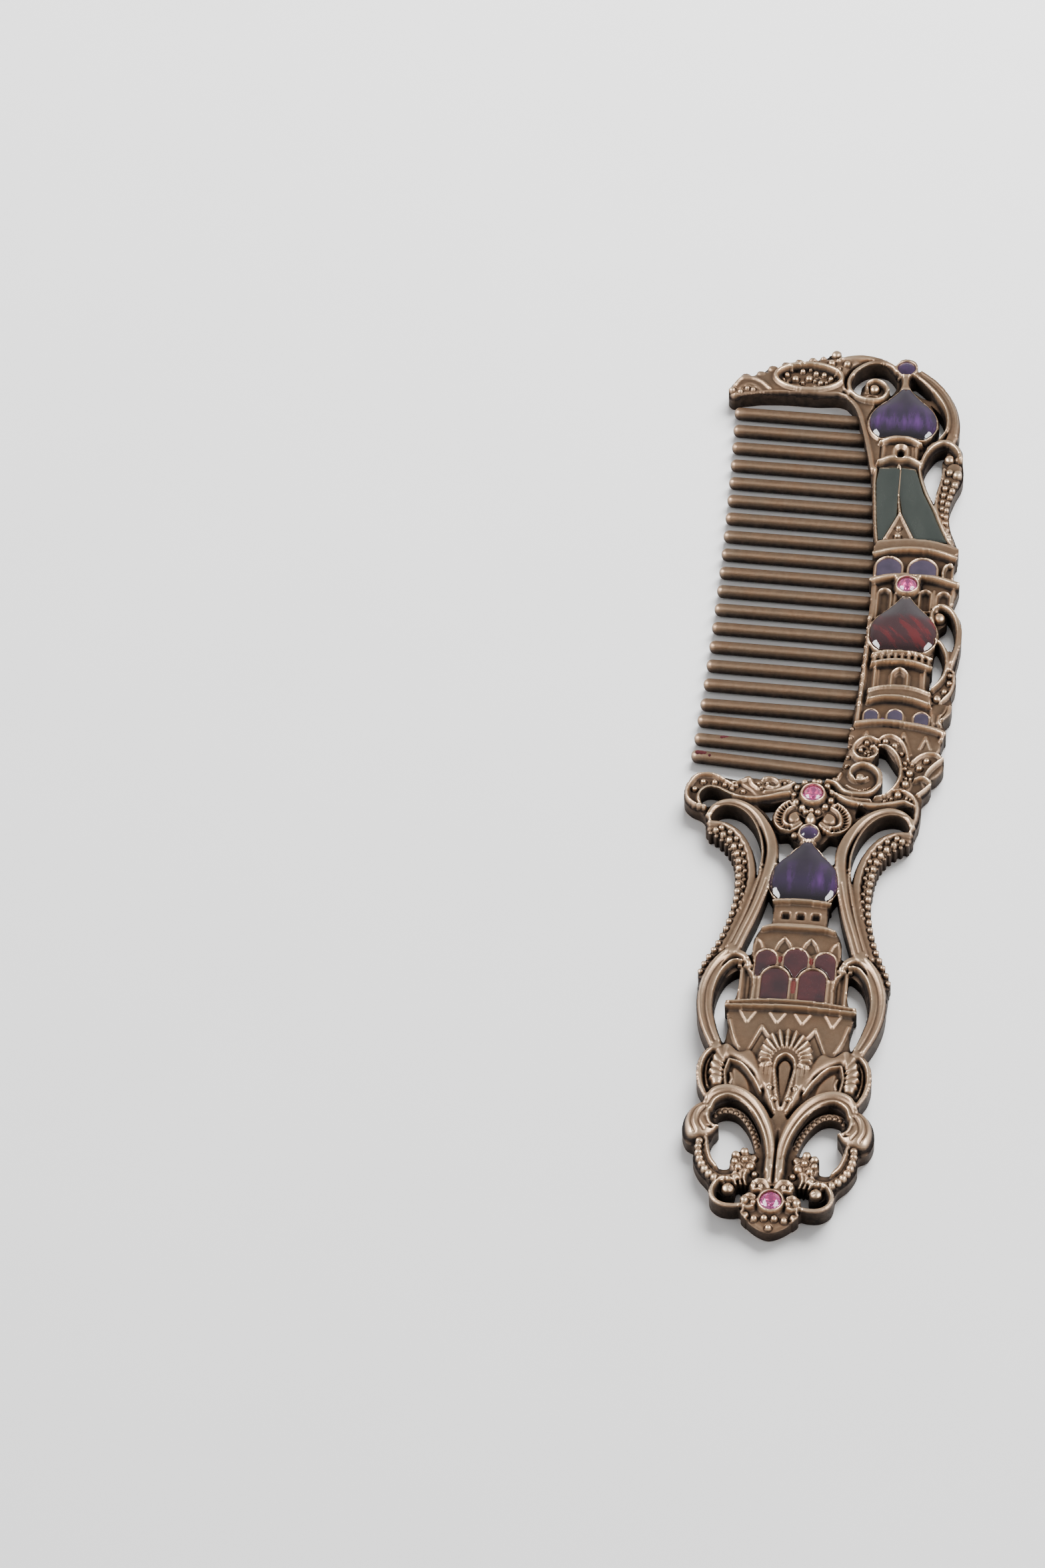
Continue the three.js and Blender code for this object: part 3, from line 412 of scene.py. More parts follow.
HEAD_LEFT = [
    (-16.5, -5.2), (-17.2, -4.4), (-18.8, -3.6), (-19.9, -2.4), (-20.2, -0.8), (-19.7, 1.2), (-18.6, 2.8),
    (-17, 3.4), (-14.5, 3.1), (-11, 2.6), (-8, 2.8), (-4, 2.8), (-2, 3), (0, 3.5), (1.8, 3.3), (3.3, 4.4),
    (4.3, 8), (4.9, 14), (5, 18), (5.3, 22), (5.6, 30), (5.9, 38), (5.9, 46), (5.8, 52), (5.3, 57),
    (4.8, 62), (4.4, 66.5), (3.8, 71), (3, 75), (2.3, 78), (1.2, 82.5), (0, 85), (-1, 86.4), (-2.6, 87.1),
    (-6, 86.9), (-13, 87), (-18.5, 86.3), (-20.2, 85.4),
]
PLATE = HEAD + GRIP + flip(GRIP) + HEAD_LEFT

OPENINGS = [
    [(-0.6, 90), (-0.3, 91.8), (0.8, 93.6), (2.7, 94.5), (4.8, 94.3), (6, 93.2), (6.9, 91.4), (6.8, 89.8),
     (6.1, 88.5), (5.5, 88.3), (5.7, 89.6), (4.9, 90.9), (3.5, 91.4), (2, 91), (1.1, 90), (0.9, 88.7),
     (0.7, 87.9), (-0.3, 88.7)],
    [(9.2, 91.6), (9.2, 90.2), (9.9, 89.3), (11.4, 88.2), (12.8, 87.7), (12.9, 88.7), (11.8, 90.3),
     (10, 92)],
    [(12.9, 86.6), (14.4, 84.9), (15.4, 82.6), (15.3, 79.8), (14.2, 77.4), (12.7, 75.2), (12.5, 76.4),
     (13.7, 78.6), (14.5, 80.6), (14.5, 82.8), (13.8, 84.6)],
    [(16.3, 76.4), (14.9, 76), (13.6, 74), (12.8, 71.6), (12.7, 69.6), (13.3, 67.4), (14.8, 63.9),
     (15.1, 66), (15.6, 69), (15.9, 71.6), (15.6, 73.4), (16.2, 75.2)],
    [(17.6, 40.3), (18.6, 39.6), (19.5, 37.8), (20, 35), (19.9, 32.4), (19.4, 31.2), (18.6, 33),
     (17.5, 34.4), (17.5, 36.6), (18.4, 37.7), (18.5, 39.2)],
    [(17.2, 32.9), (18.1, 31.2), (18.5, 29), (18.3, 26.8), (17.4, 24.6), (16.7, 23.6), (16.6, 26),
     (16.8, 30)],
    [(9.6, 10.7), (11.0, 10.2), (12.6, 8), (12.9, 5.4), (12.3, 3), (10.9, 1.2), (9.6, 0.7), (10.4, 2.4),
     (10.5, 4.4), (9.6, 6.6), (8.9, 7.9), (9.6, 9.4)],
    [(-17.8, -0.6), (-16.8, 0.1), (-15, 0.1), (-12.6, -1.2), (-14.6, -2), (-16.2, -3), (-17.5, -2.5)],
    [(13.0, -1.3), (14.4, -0.9), (15.5, -1.3), (15.7, -2.3), (14.4, -2)],
    [(-8.6, -2), (-6, -1.5), (-4.4, -1), (-5, -2), (-5.9, -3.6), (-6.1, -5), (-7, -3.8)],
    [(8.6, -2.1), (7.2, -1.6), (6.9, -2), (7, -3.6)],
]
NECK_OPENING = [
    (-5.3, -7.4), (-4.6, -7.8), (-3.2, -7.7), (-2.2, -9), (-1.4, -9.7), (-1.5, -10.7), (-2.4, -11.9),
    (-4.4, -13.2), (-4.4, -11), (-4.8, -9),
]
GRIP_OPENINGS = [
    [(-15.6, -5.5), (-14.7, -4), (-12.9, -3.3), (-10.6, -4), (-8.6, -6.2), (-7.3, -9.6), (-6.9, -13),
     (-7.3, -16.3), (-7.8, -13.6), (-9, -10.6), (-10.9, -8.1), (-13.3, -6.4)],
    [(-5.5, -19.3), (-4.6, -20.7), (-4.3, -22), (-4.4, -25.6), (-5.9, -26.9), (-6.7, -28.8), (-6.9, -31.4),
     (-8.6, -31), (-7.5, -27.4), (-6.4, -22.6)],
    [(-8.4, -34.6), (-10.3, -36.2), (-11.5, -40), (-11.5, -43.4), (-10.8, -46), (-9.6, -48.4),
     (-9.2, -45.6), (-9.6, -42.8), (-9.6, -41), (-8.6, -40)],
    [(-9.9, -62), (-9.6, -60.4), (-7.6, -59.2), (-5.4, -60.1), (-3.6, -62.6), (-2.4, -65.8), (-2.8, -68),
     (-6.2, -68.2), (-6.8, -71.2), (-8.8, -71), (-10, -68.8), (-9.6, -66), (-8.8, -64.4)],
    [(-8.1, -75.4), (-7.6, -77.1), (-5.6, -77.5), (-3.9, -77), (-3.2, -75.4), (-3.4, -74.3), (-5.2, -74.2),
     (-5.6, -75.8), (-7.2, -76)],
]

UPPER_SIDE = [(-6.1, -35.2), (-6.1, -32.3), (-5.7, -31.3), (-4.5, -30.7), (-3.3, -31.3), (-2.95, -32.3),
              (-2.95, -33.2), (-3.9, -33.6), (-4.8, -34.3), (-5.35, -35.3), (-5.6, -36)]
UPPER_MIDDLE = whole([(0, -36), (0.35, -35.2), (0.9, -34.2), (1.75, -33.4), (1.8, -31.9), (1.3, -30.7),
                      (0, -30.2)])

TOP_DOME = onion(8.55, 77.9, 88.9, 5.45)
RED_DOME = onion(11.7, 31, 42.1, 5.2)
GRIP_DOME = onion(0, -21, -9.9, 5.15)

# name, outline, enamel, height at the edge, height at the crown, width over which it swells. Domes are the
# cells that swell over more than 2 mm, and balls those that swell over more than 1 mm.
CELLS = [
    ("top_ball_enamel", ellipse(8.3, 94, 1.5), "violet_ball", 3.3, 4.0, 1.5),
    ("top_dome_enamel", TOP_DOME, "violet_dome", 3.45, 4.3, 2.7),
    ("roof_panel_left_enamel", [(5.4, 71.2), (5.1, 68), (5.5, 62), (6.25, 55.1), (6.8, 55.1), (8.8, 60.6),
                                (8.7, 65), (8.7, 71.4)], "green", 2.85, 3.05, 0.6),
    ("roof_panel_right_enamel", [(9.0, 71.4), (9.1, 65.4), (9.9, 60.8), (12.3, 55.4), (17.4, 55.2),
                                 (14.8, 61.6), (12.8, 66), (11.3, 71.2)], "green", 2.85, 3.05, 0.6),
    ("gallery_window_left_enamel", arch(8.45, 47.0, 51.1, 1.95), "violet_pane", 2.75, 2.9, 0.5),
    ("gallery_window_right_enamel", arch(13.95, 47.0, 51.1, 2.15), "violet_pane", 2.75, 2.9, 0.5),
    ("red_dome_enamel", RED_DOME, "red_dome", 3.45, 4.3, 2.7),
    ("lower_window_left_enamel", arch(7.8, 15.9, 18.45, 1.0), "violet_pane", 2.75, 2.9, 0.4),
    ("lower_window_middle_enamel", arch(11.6, 16.1, 18.65, 1.1), "violet_pane", 2.75, 2.9, 0.4),
    ("lower_window_right_enamel", arch(15.8, 15.8, 18.35, 1.05), "violet_pane", 2.75, 2.9, 0.4),
    ("handle_ball_enamel", ellipse(0, -7.7, 1.35), "violet_ball", 3.3, 3.95, 1.35),
    ("handle_dome_enamel", GRIP_DOME, "violet_dome", 3.45, 4.3, 2.7),
    ("arcade_upper_left_enamel", UPPER_SIDE, "red_pane", 2.8, 2.95, 0.5),
    ("arcade_upper_middle_enamel", UPPER_MIDDLE, "red_pane", 2.8, 2.95, 0.5),
    ("arcade_upper_right_enamel", flip(UPPER_SIDE), "red_pane", 2.8, 2.95, 0.5),
    ("arcade_lower_left_enamel", arch(-2.85, -39.9, -34.0, 2.1), "red_pane", 2.8, 2.95, 0.5),
    ("arcade_lower_right_enamel", arch(2.85, -39.9, -34.0, 2.1), "red_pane", 2.8, 2.95, 0.5),
]

# name, x, y, height of the girdle
STONES = [
    ("crossguard_stone", 0, 0, 3.35),
    ("spine_stone", 11.7, 44.9, 3.35),
    ("pommel_stone", 0, -76.8, 3.0),
]


# ---------------------------------------------------------------------------------------------------------
# The casting's face, from the end guard down to the pommel. Points, widths and heights are in mm.

BEZEL_OUT, BEZEL_WIDTH = 0.28, 0.42     # the bezel's line outside the stone, and its width
COLLAR_DROP = 0.35                      # how much lower the collar round it is


def bezel(r, x, y, crest, collar=2.05):
    r.plate(ellipse(x, y, collar), crest - COLLAR_DROP)
    r.rim(ellipse(x, y, STONE_RADIUS + BEZEL_OUT), BEZEL_WIDTH, crest)


def end_guard(r):
    r.pillow([(-20.9, 86.2), (-20.9, 88.2), (-19.6, 90.2), (-16.4, 91.6), (-13.4, 93.2), (-9, 95), (-4, 96),
              (0, 96.6), (3.4, 96.1), (5.6, 95), (3, 95.6), (-0.6, 94.4), (-1.7, 91.6), (-1.7, 88.8),
              (-3, 87.4), (-13, 87.3)], 2.5, 3.25, 1.2)
    for x, y, size in [(-18.6, 90.5, 0.95), (-16.1, 91.3, 0.9), (-14.2, 92.6, 1.0), (-12, 93.7, 0.9),
                       (-9.9, 94.6, 0.8), (-7.7, 95.2, 0.75), (-5.9, 95.7, 0.6)]:
        r.cushion(ellipse(x, y, size, size * 0.8), 2.7, 3.45, 0.6)
    r.bead(-3.8, 97.0, 0.85, 3.5)
    r.bead(-20.7, 87.2, 0.55, 3.6)
    r.curl([(-20.4, 88.2), (-19.4, 89.9), (-17.6, 90.1), (-15.8, 89.3), (-14.4, 87.9)], 0.55, 3.6)
    r.curl([(-19.9, 86.6), (-19.2, 88.2), (-17.8, 88.9), (-16.4, 88.2), (-15.8, 87.3)], 0.4, 3.4)
    r.curl([(-20.2, 86.2), (-17, 86.9), (-13, 87.5), (-8, 87.4), (-3, 87.8), (-1.2, 87.2)], 0.6, 3.3)
    r.beads([(-18.2, 87.7), (-19.3, 86.9), (-17.2, 87.5)], 0.42, 3.6)

    medallion = ellipse(-8, 90.9, 5.6, 3.0)
    r.pit(ellipse(-8, 90.9, 5.5, 2.95), 2.6, 0.5)
    r.rim(medallion, 0.75, 3.95)
    r.beads([(-8, 91.0), (-10.3, 90.8)], 0.6, 3.75)
    r.beads([(-6.9, 92.3), (-5.5, 92.1), (-6.0, 90.2), (-9.2, 92.7), (-4.3, 91.2), (-11.8, 91.7)], 0.45,
            3.5)
    r.beads([(-9.5, 89.1), (-8.1, 88.9), (-6.9, 89.2), (-11.6, 89.7), (-12.3, 90.6), (-5, 90.3),
             (-7.9, 93.1), (-3.6, 92), (-9, 90), (-7, 90.6), (-11.1, 92.8)], 0.3, 3.25)
    for x, y in [(-10.3, 92.9), (-9.2, 90.0), (-6.4, 91.3), (-11.2, 90.3)]:
        r.pit(ellipse(x, y, 0.55, 0.4), 2.1, 0.3)
    r.beads([(-4.4, 94.4), (-1.8, 94.4)], 0.6, 3.9)
    r.beads([(-7, 94.5), (-9.4, 94.0), (-2.9, 95.6), (-3.1, 93.4)], 0.38, 3.55)
    r.curl([(-3.4, 95.2), (-1.2, 95.9), (1.2, 96.1), (3.6, 95.6), (5.8, 94.4), (6.7, 93.2)],
           [0.5, 1.3, 1.2, 0.8], 3.7)
    r.score([(-2.4, 96.4), (0.6, 96.7), (3.4, 96.2), (5.6, 95.2)], 0.35, 0.25)
    r.curl([(-2.2, 94.6), (-2.4, 92), (-2.1, 89.6), (-1.1, 87.6)], 0.45, 3.4)

    # The loop and the curl inside it
    r.curl([(6.3, 94.0), (4.5, 94.8), (2.0, 94.7), (0, 93.1), (-1.1, 90.8), (-0.9, 88.6), (0.2, 87.1),
            (2.2, 86.3), (4.2, 86.5), (5.3, 87.8), (5.3, 89.4), (4.3, 90.6), (2.8, 90.8), (1.9, 89.9),
            (2, 88.8)], [0.65, 0.7, 0.8, 0.8, 0.75, 0.7, 0.6, 0.5], 3.8)
    r.sheet([(1.7, 90), (1.4, 88.6), (1.8, 87), (4.2, 86.6), (5.2, 88), (5, 89.8), (3.6, 90.8)], 2.6)
    r.bead(3.2, 89.2, 0.85, 3.6)
    r.pit(ellipse(2.9, 87.6, 0.9, 0.45), 1.6, 0.25)

    # The ball's ring and neck
    r.plate(ellipse(8.3, 94, 1.9), 3.4)
    r.rim(ellipse(8.3, 94, 1.72), 0.36, 3.8)
    r.rib([(8.3, 92.4), (8.35, 91.2), (8.4, 89.4)], [1.7, 1.2, 1.2, 1.9], 3.5)
    r.beads([(7.2, 92.3), (9.5, 92.4)], 0.36, 3.6)

    # The band arm down the right of the dome
    r.curl([(9.9, 93.1), (12.3, 91), (14.6, 88.2), (16.2, 85.2), (16.95, 82), (17, 79.2), (16.5, 77.4)],
           [1.4, 1.9, 2.1, 2.1, 2.1, 1.8], 3.5, 0.5)
    r.curl([(9.7, 92.6), (11.6, 90.9), (13.6, 88.4), (15.2, 85.6), (15.9, 82.8), (15.8, 80), (14.9, 78)],
           0.45, 3.85)
    r.curl([(10.8, 93.3), (13.4, 91.0), (15.4, 88.4), (16.9, 85), (17.5, 82), (17.4, 79)], 0.4, 3.7)
    r.score([(10.8, 92.4), (13.2, 90), (15, 87.4), (16.2, 84.4), (16.6, 82), (16.5, 79.6)], 0.35, 0.2)
    r.rim(onion(8.55, 77.6, 89.3, 5.68), 0.34, 3.6)

    # The spine beside the dome, the two collars and the little drum between them
    r.sheet([(-0.6, 86.8), (1.4, 86), (3.4, 86.2), (2.6, 82), (4, 79.4), (5, 77), (5, 72.4), (4.2, 70),
             (3.4, 74), (2.2, 79), (1.2, 83)], 2.9)
    r.curl([(-1.3, 87.2), (0.5, 84.9), (1.7, 81.6), (2.6, 78.2), (3.4, 74.6), (4.2, 70.8)], 0.75, 3.3)
    r.plate([(5.3, 72.6), (11.7, 72.6), (11.6, 76.8), (5.5, 76.8)], 2.7)
    r.curl([(5.1, 76.6), (6.6, 77.5), (8.5, 77.9), (10.4, 77.5), (11.9, 76.5)], [0.6, 0.8, 0.8, 0.6], 3.8)
    r.curl([(5.1, 72.1), (6.7, 73.0), (8.6, 73.4), (10.4, 73.0), (11.9, 72.1)], [0.7, 0.85, 0.85, 0.7], 3.9)
    r.rib([(5.6, 76.4), (5.6, 73)], 0.45, 3.1)
    r.rib([(11.2, 76.2), (11.3, 73)], 0.45, 3.1)
    r.rib([(10.6, 76.2), (10.7, 73)], 0.35, 3.0)
    r.rim(arch(8.6, 73, 76.7, 1.15), 0.4, 3.2)
    r.pit(arch(8.6, 73.2, 76.0, 0.6), 1.5, 0.2)
    r.rib([(8.5, 71.9), (8.5, 71.3)], 0.45, 3.4)


def roof(r):
    r.curl([(4.75, 71), (4.75, 68), (5.15, 63), (5.6, 58), (6.05, 54.5)], 0.42, 3.25)
    r.curl([(11.9, 72), (12.3, 69.5), (13.4, 66), (14.8, 62.7), (16, 59.4), (17.3, 56.3), (18.3, 54.4)],
           0.45, 3.3)
    r.rib([(8.85, 71.6), (8.9, 68.4), (8.9, 65.2)], 0.28, 3.12)
    r.rib([(8.9, 65.3), (9.1, 63), (9.4, 61)], [0.22, 0.5], 3.4)
    r.plate([(9.4, 61.2), (7.1, 55.1), (12.1, 55.1)], 2.75)
    r.rib([(9.4, 61.3), (7.15, 55.1)], [0.3, 0.4], 3.3)
    r.rib([(9.4, 61.3), (12.1, 55.1)], [0.3, 0.4], 3.3)
    r.bead(9.4, 57.8, 0.42, 3.3)
    r.bead(9.35, 55.95, 0.55, 3.5)
    r.pit(ellipse(9.4, 56.9, 0.35, 0.22), 2.1, 0.2)

    # The arched arm over the teardrop opening, its curl, and the beaded band below
    r.curl([(12.2, 71.8), (12.6, 73.6), (13.5, 75.6), (14.7, 76.9), (16, 77.2), (17.3, 76.5), (18.3, 75),
            (18.55, 73.6)], [0.7, 0.8, 0.9, 0.8, 0.8], 3.9)
    r.curl([(17.3, 76.7), (18.2, 75.6), (18.7, 74)], 0.6, 3.6)
    r.bead(16.8, 73.9, 0.85, 4.1)
    r.bead(18.2, 74.0, 0.6, 3.9)
    r.pit(ellipse(17.6, 72.9, 1.0, 0.4), 1.9, 0.25)
    band = smooth([(17.7, 72), (17.4, 69.6), (16.9, 66.6), (16.4, 63.6), (16.5, 60.8), (17.1, 58),
                   (18.3, 55)])
    r.rib(band, [2.4, 2.8, 2.6, 2.2, 2.0, 1.5, 0.9], 3.0, 0.3)
    r.curl([(16.1, 71.4), (15.8, 68.4), (15.3, 65.4), (15.2, 63), (15.7, 60.8), (16.6, 58.4), (17.9, 55.8)],
           0.45, 3.45)
    r.bead(18.3, 70.2, 0.8, 3.9)
    r.bead(17.0, 70.6, 0.6, 3.7)
    r.bead_row(smooth([(16.7, 69.3), (16.4, 66.4), (16.2, 63.6), (16.4, 60.8), (16.9, 58.6)]), 1.42,
               (0.5, 0.32), 3.8)
    r.bead_row(smooth([(18.2, 68.7), (17.6, 66.2), (17.1, 63.6), (17.0, 60.6), (17.4, 57.6), (18.1, 55.6)]),
               1.42, (0.55, 0.26), 3.75)

    # Ledge one: a broad band with a proud lower lip
    r.sheet([(5.9, 51.9), (9, 52.9), (12.5, 53.2), (16, 52.9), (19.2, 51.9), (19.4, 53.6), (16, 54.7),
             (12, 55.1), (8.6, 54.8), (6.1, 54.2)], 3.5)
    r.curl([(5.9, 51.5), (8.8, 52.5), (12.5, 52.9), (16.1, 52.5), (19.1, 51.4)], 0.7, 3.85)
    r.curl([(6.2, 54.1), (8.8, 54.7), (12.4, 55), (16, 54.6), (19.1, 53.4)], 0.4, 3.65)


def dome_section(r):
    for x, half in [(8.45, 2.2), (13.95, 2.4)]:
        r.rim(arch(x, 46.9, 51.4, half), 0.36, 3.2)
    r.curl([(17.3, 47.4), (17.3, 49), (17.7, 50), (18.5, 50.3)], [0.3, 0.4, 0.7], 3.3)
    r.bead(18.4, 50.1, 0.4, 3.6)
    r.rib([(18.8, 50), (18.8, 47.4)], 0.35, 2.9)
    r.curl([(5.9, 45.7), (8.4, 46.6), (12, 47.1), (16, 46.8), (19.7, 45.7)], [0.85, 0.8, 0.8, 0.9], 3.85)

    # The stone's ring, a block each side of it, and the niches below
    bezel(r, 11.7, 44.9, 3.95, 2.0)
    for x, y in [(10.05, 46.3), (13.35, 46.3)]:
        r.cushion(oblong(x, y, 0.45, 0.5), 3.4, 3.9, 0.35)
    r.beads([(11.3, 42.5), (12.2, 42.5)], 0.24, 3.4)
    for x, low, high, half in [(8.15, 38, 44.6, 1.1), (14.75, 40, 44.7, 0.95), (17.7, 41.2, 44.5, 1.1)]:
        r.pit(arch(x, low, high - 0.2, half - 0.2), 2.0, 0.2)
        r.rim(arch(x, low, high, half), 0.3, 2.95)
    r.curl([(6.35, 45), (6.4, 41), (6.3, 38)], 0.8, 2.9)
    r.rib([(9.9, 43.6), (9.9, 41.2)], 0.5, 2.8)
    r.rib([(16.1, 44.6), (16.2, 41)], 0.5, 2.85)
    r.rib([(19.2, 45), (19.1, 42)], 0.5, 2.9)

    # The red dome's rim, and the spine beside it
    r.rim(onion(11.7, 30.7, 42.5, 5.45), 0.36, 3.5)
    r.curl([(6.2, 38.4), (6.15, 34), (6.1, 30), (5.95, 24), (5.75, 19), (5.7, 15.6)], 0.65, 3.1)
    for k in range(10):
        y = 37.5 - 4.04 * k / 2
        r.bead(6.0 - 0.018 * (37.5 - y), y, 0.22, 3.3)

    # The crenellated collar: an upper and a lower rib with dentils between
    r.curl([(7.1, 29.8), (9, 30.4), (11.6, 30.7), (14.4, 30.3), (16.6, 29.4)], 0.42, 3.7)
    r.sheet([(7.2, 28), (9.4, 28.6), (11.6, 28.8), (14.4, 28.5), (16.6, 27.6), (16.6, 29.3), (14.4, 30.1),
             (11.6, 30.4), (9.2, 30.2), (7.2, 29.6)], 3.0)
    for k in range(9):
        x = 7.6 + k * 1.08
        sag = 1.15 * ((x - 11.7) / 5) ** 2
        r.rib([(x, 30.2 - sag), (x, 28.7 - sag)], 0.36, 3.55)
        r.pit(ellipse(x + 0.54, 29.9 - sag, 0.28, 0.2), 2.2, 0.15)
    r.curl([(7.2, 27.7), (9, 28.3), (11.6, 28.6), (14.4, 28.2), (16.6, 27.3)], [0.55, 0.7, 0.7, 0.6], 3.9)

    # The drum with its door
    for jamb in ([(7.75, 27.4), (7.75, 23)], [(15.75, 27.0), (15.8, 22.9)]):
        r.rib(jamb, 0.42, 3.1)
    for jamb in ([(8.25, 27.2), (8.25, 23.2)], [(15.25, 26.9), (15.3, 23)]):
        r.rib(jamb, 0.28, 2.8)
    r.rim(arch(11.75, 23.2, 27.5, 1.3, 0.25), 0.42, 3.25)
    r.pit(arch(11.75, 23.4, 26.6, 0.8), 2.15, 0.15)
    r.curl([(7.1, 22.3), (9, 23), (11.8, 23.3), (14.4, 23), (16.8, 22.1)], [0.45, 0.5, 0.5], 3.7)
    r.sheet([(7.1, 20.4), (9.4, 21.1), (11.8, 21.2), (14.4, 20.9), (16.8, 20), (16.8, 21.9), (14.4, 22.8),
             (11.8, 23.1), (9.4, 22.9), (7.1, 22.1)], 3.15)
    r.curl([(7.1, 20.1), (9, 20.8), (11.8, 21), (14.4, 20.6), (16.9, 19.7)], [0.55, 0.65, 0.6], 3.85)

    # The scrolls down the right side
    r.bead(17.3, 38.6, 0.95, 4.1)
    r.bead(16.6, 40.1, 0.55, 3.7)
    r.curl([(16.3, 37.4), (16.1, 38.9), (16.4, 40.2), (17.4, 40.8), (18.7, 40.3), (19.8, 38.8),
            (20.5, 36.4), (20.65, 33.4), (20.3, 30.8), (19.9, 28.9)],
           [0.6, 0.7, 0.8, 0.9, 1.0, 1.0, 1.0, 0.8], 3.8)
    r.curl([(16.9, 33.7), (17.9, 32.9), (18.8, 31), (19.15, 28.8), (18.9, 26.6), (18.2, 24.8),
            (17.1, 23.2)], [0.5, 0.65, 0.7, 0.65, 0.5], 3.65)
    r.curl([(19.4, 31), (19.8, 29.4), (19.6, 27.6)], [0.9, 1.0, 0.8], 3.4)
    r.sheet([(19.3, 27.6), (20.4, 27.4), (20.6, 25), (20, 22.6), (18.6, 20.9), (17, 20.6), (17.2, 22.4),
             (18.6, 24.4)], 2.6)
    r.curl([(20.2, 27.3), (20.4, 25), (19.9, 22.8), (18.6, 20.9)], 0.45, 3.3)
    r.beads([(19.7, 26.5), (19.75, 24.9), (19.1, 23.1)], 0.46, 3.75)
    r.bead(18.05, 21.5, 0.62, 3.85)
    r.sheet([(17.4, 20.2), (19.4, 20.6), (20.4, 19.8), (20.1, 18), (18.9, 16.6), (17.6, 16.4)], 2.7)
    r.curl([(20.2, 19.9), (20, 18.4), (19.1, 17)], [0.5, 0.7, 0.5], 3.5)
    r.curl([(19.7, 19.9), (19.3, 18.6), (18.7, 17.6)], 0.3, 3.3)
    r.curl([(18.7, 18), (18.6, 17), (18.8, 16.2)], 0.5, 3.2)


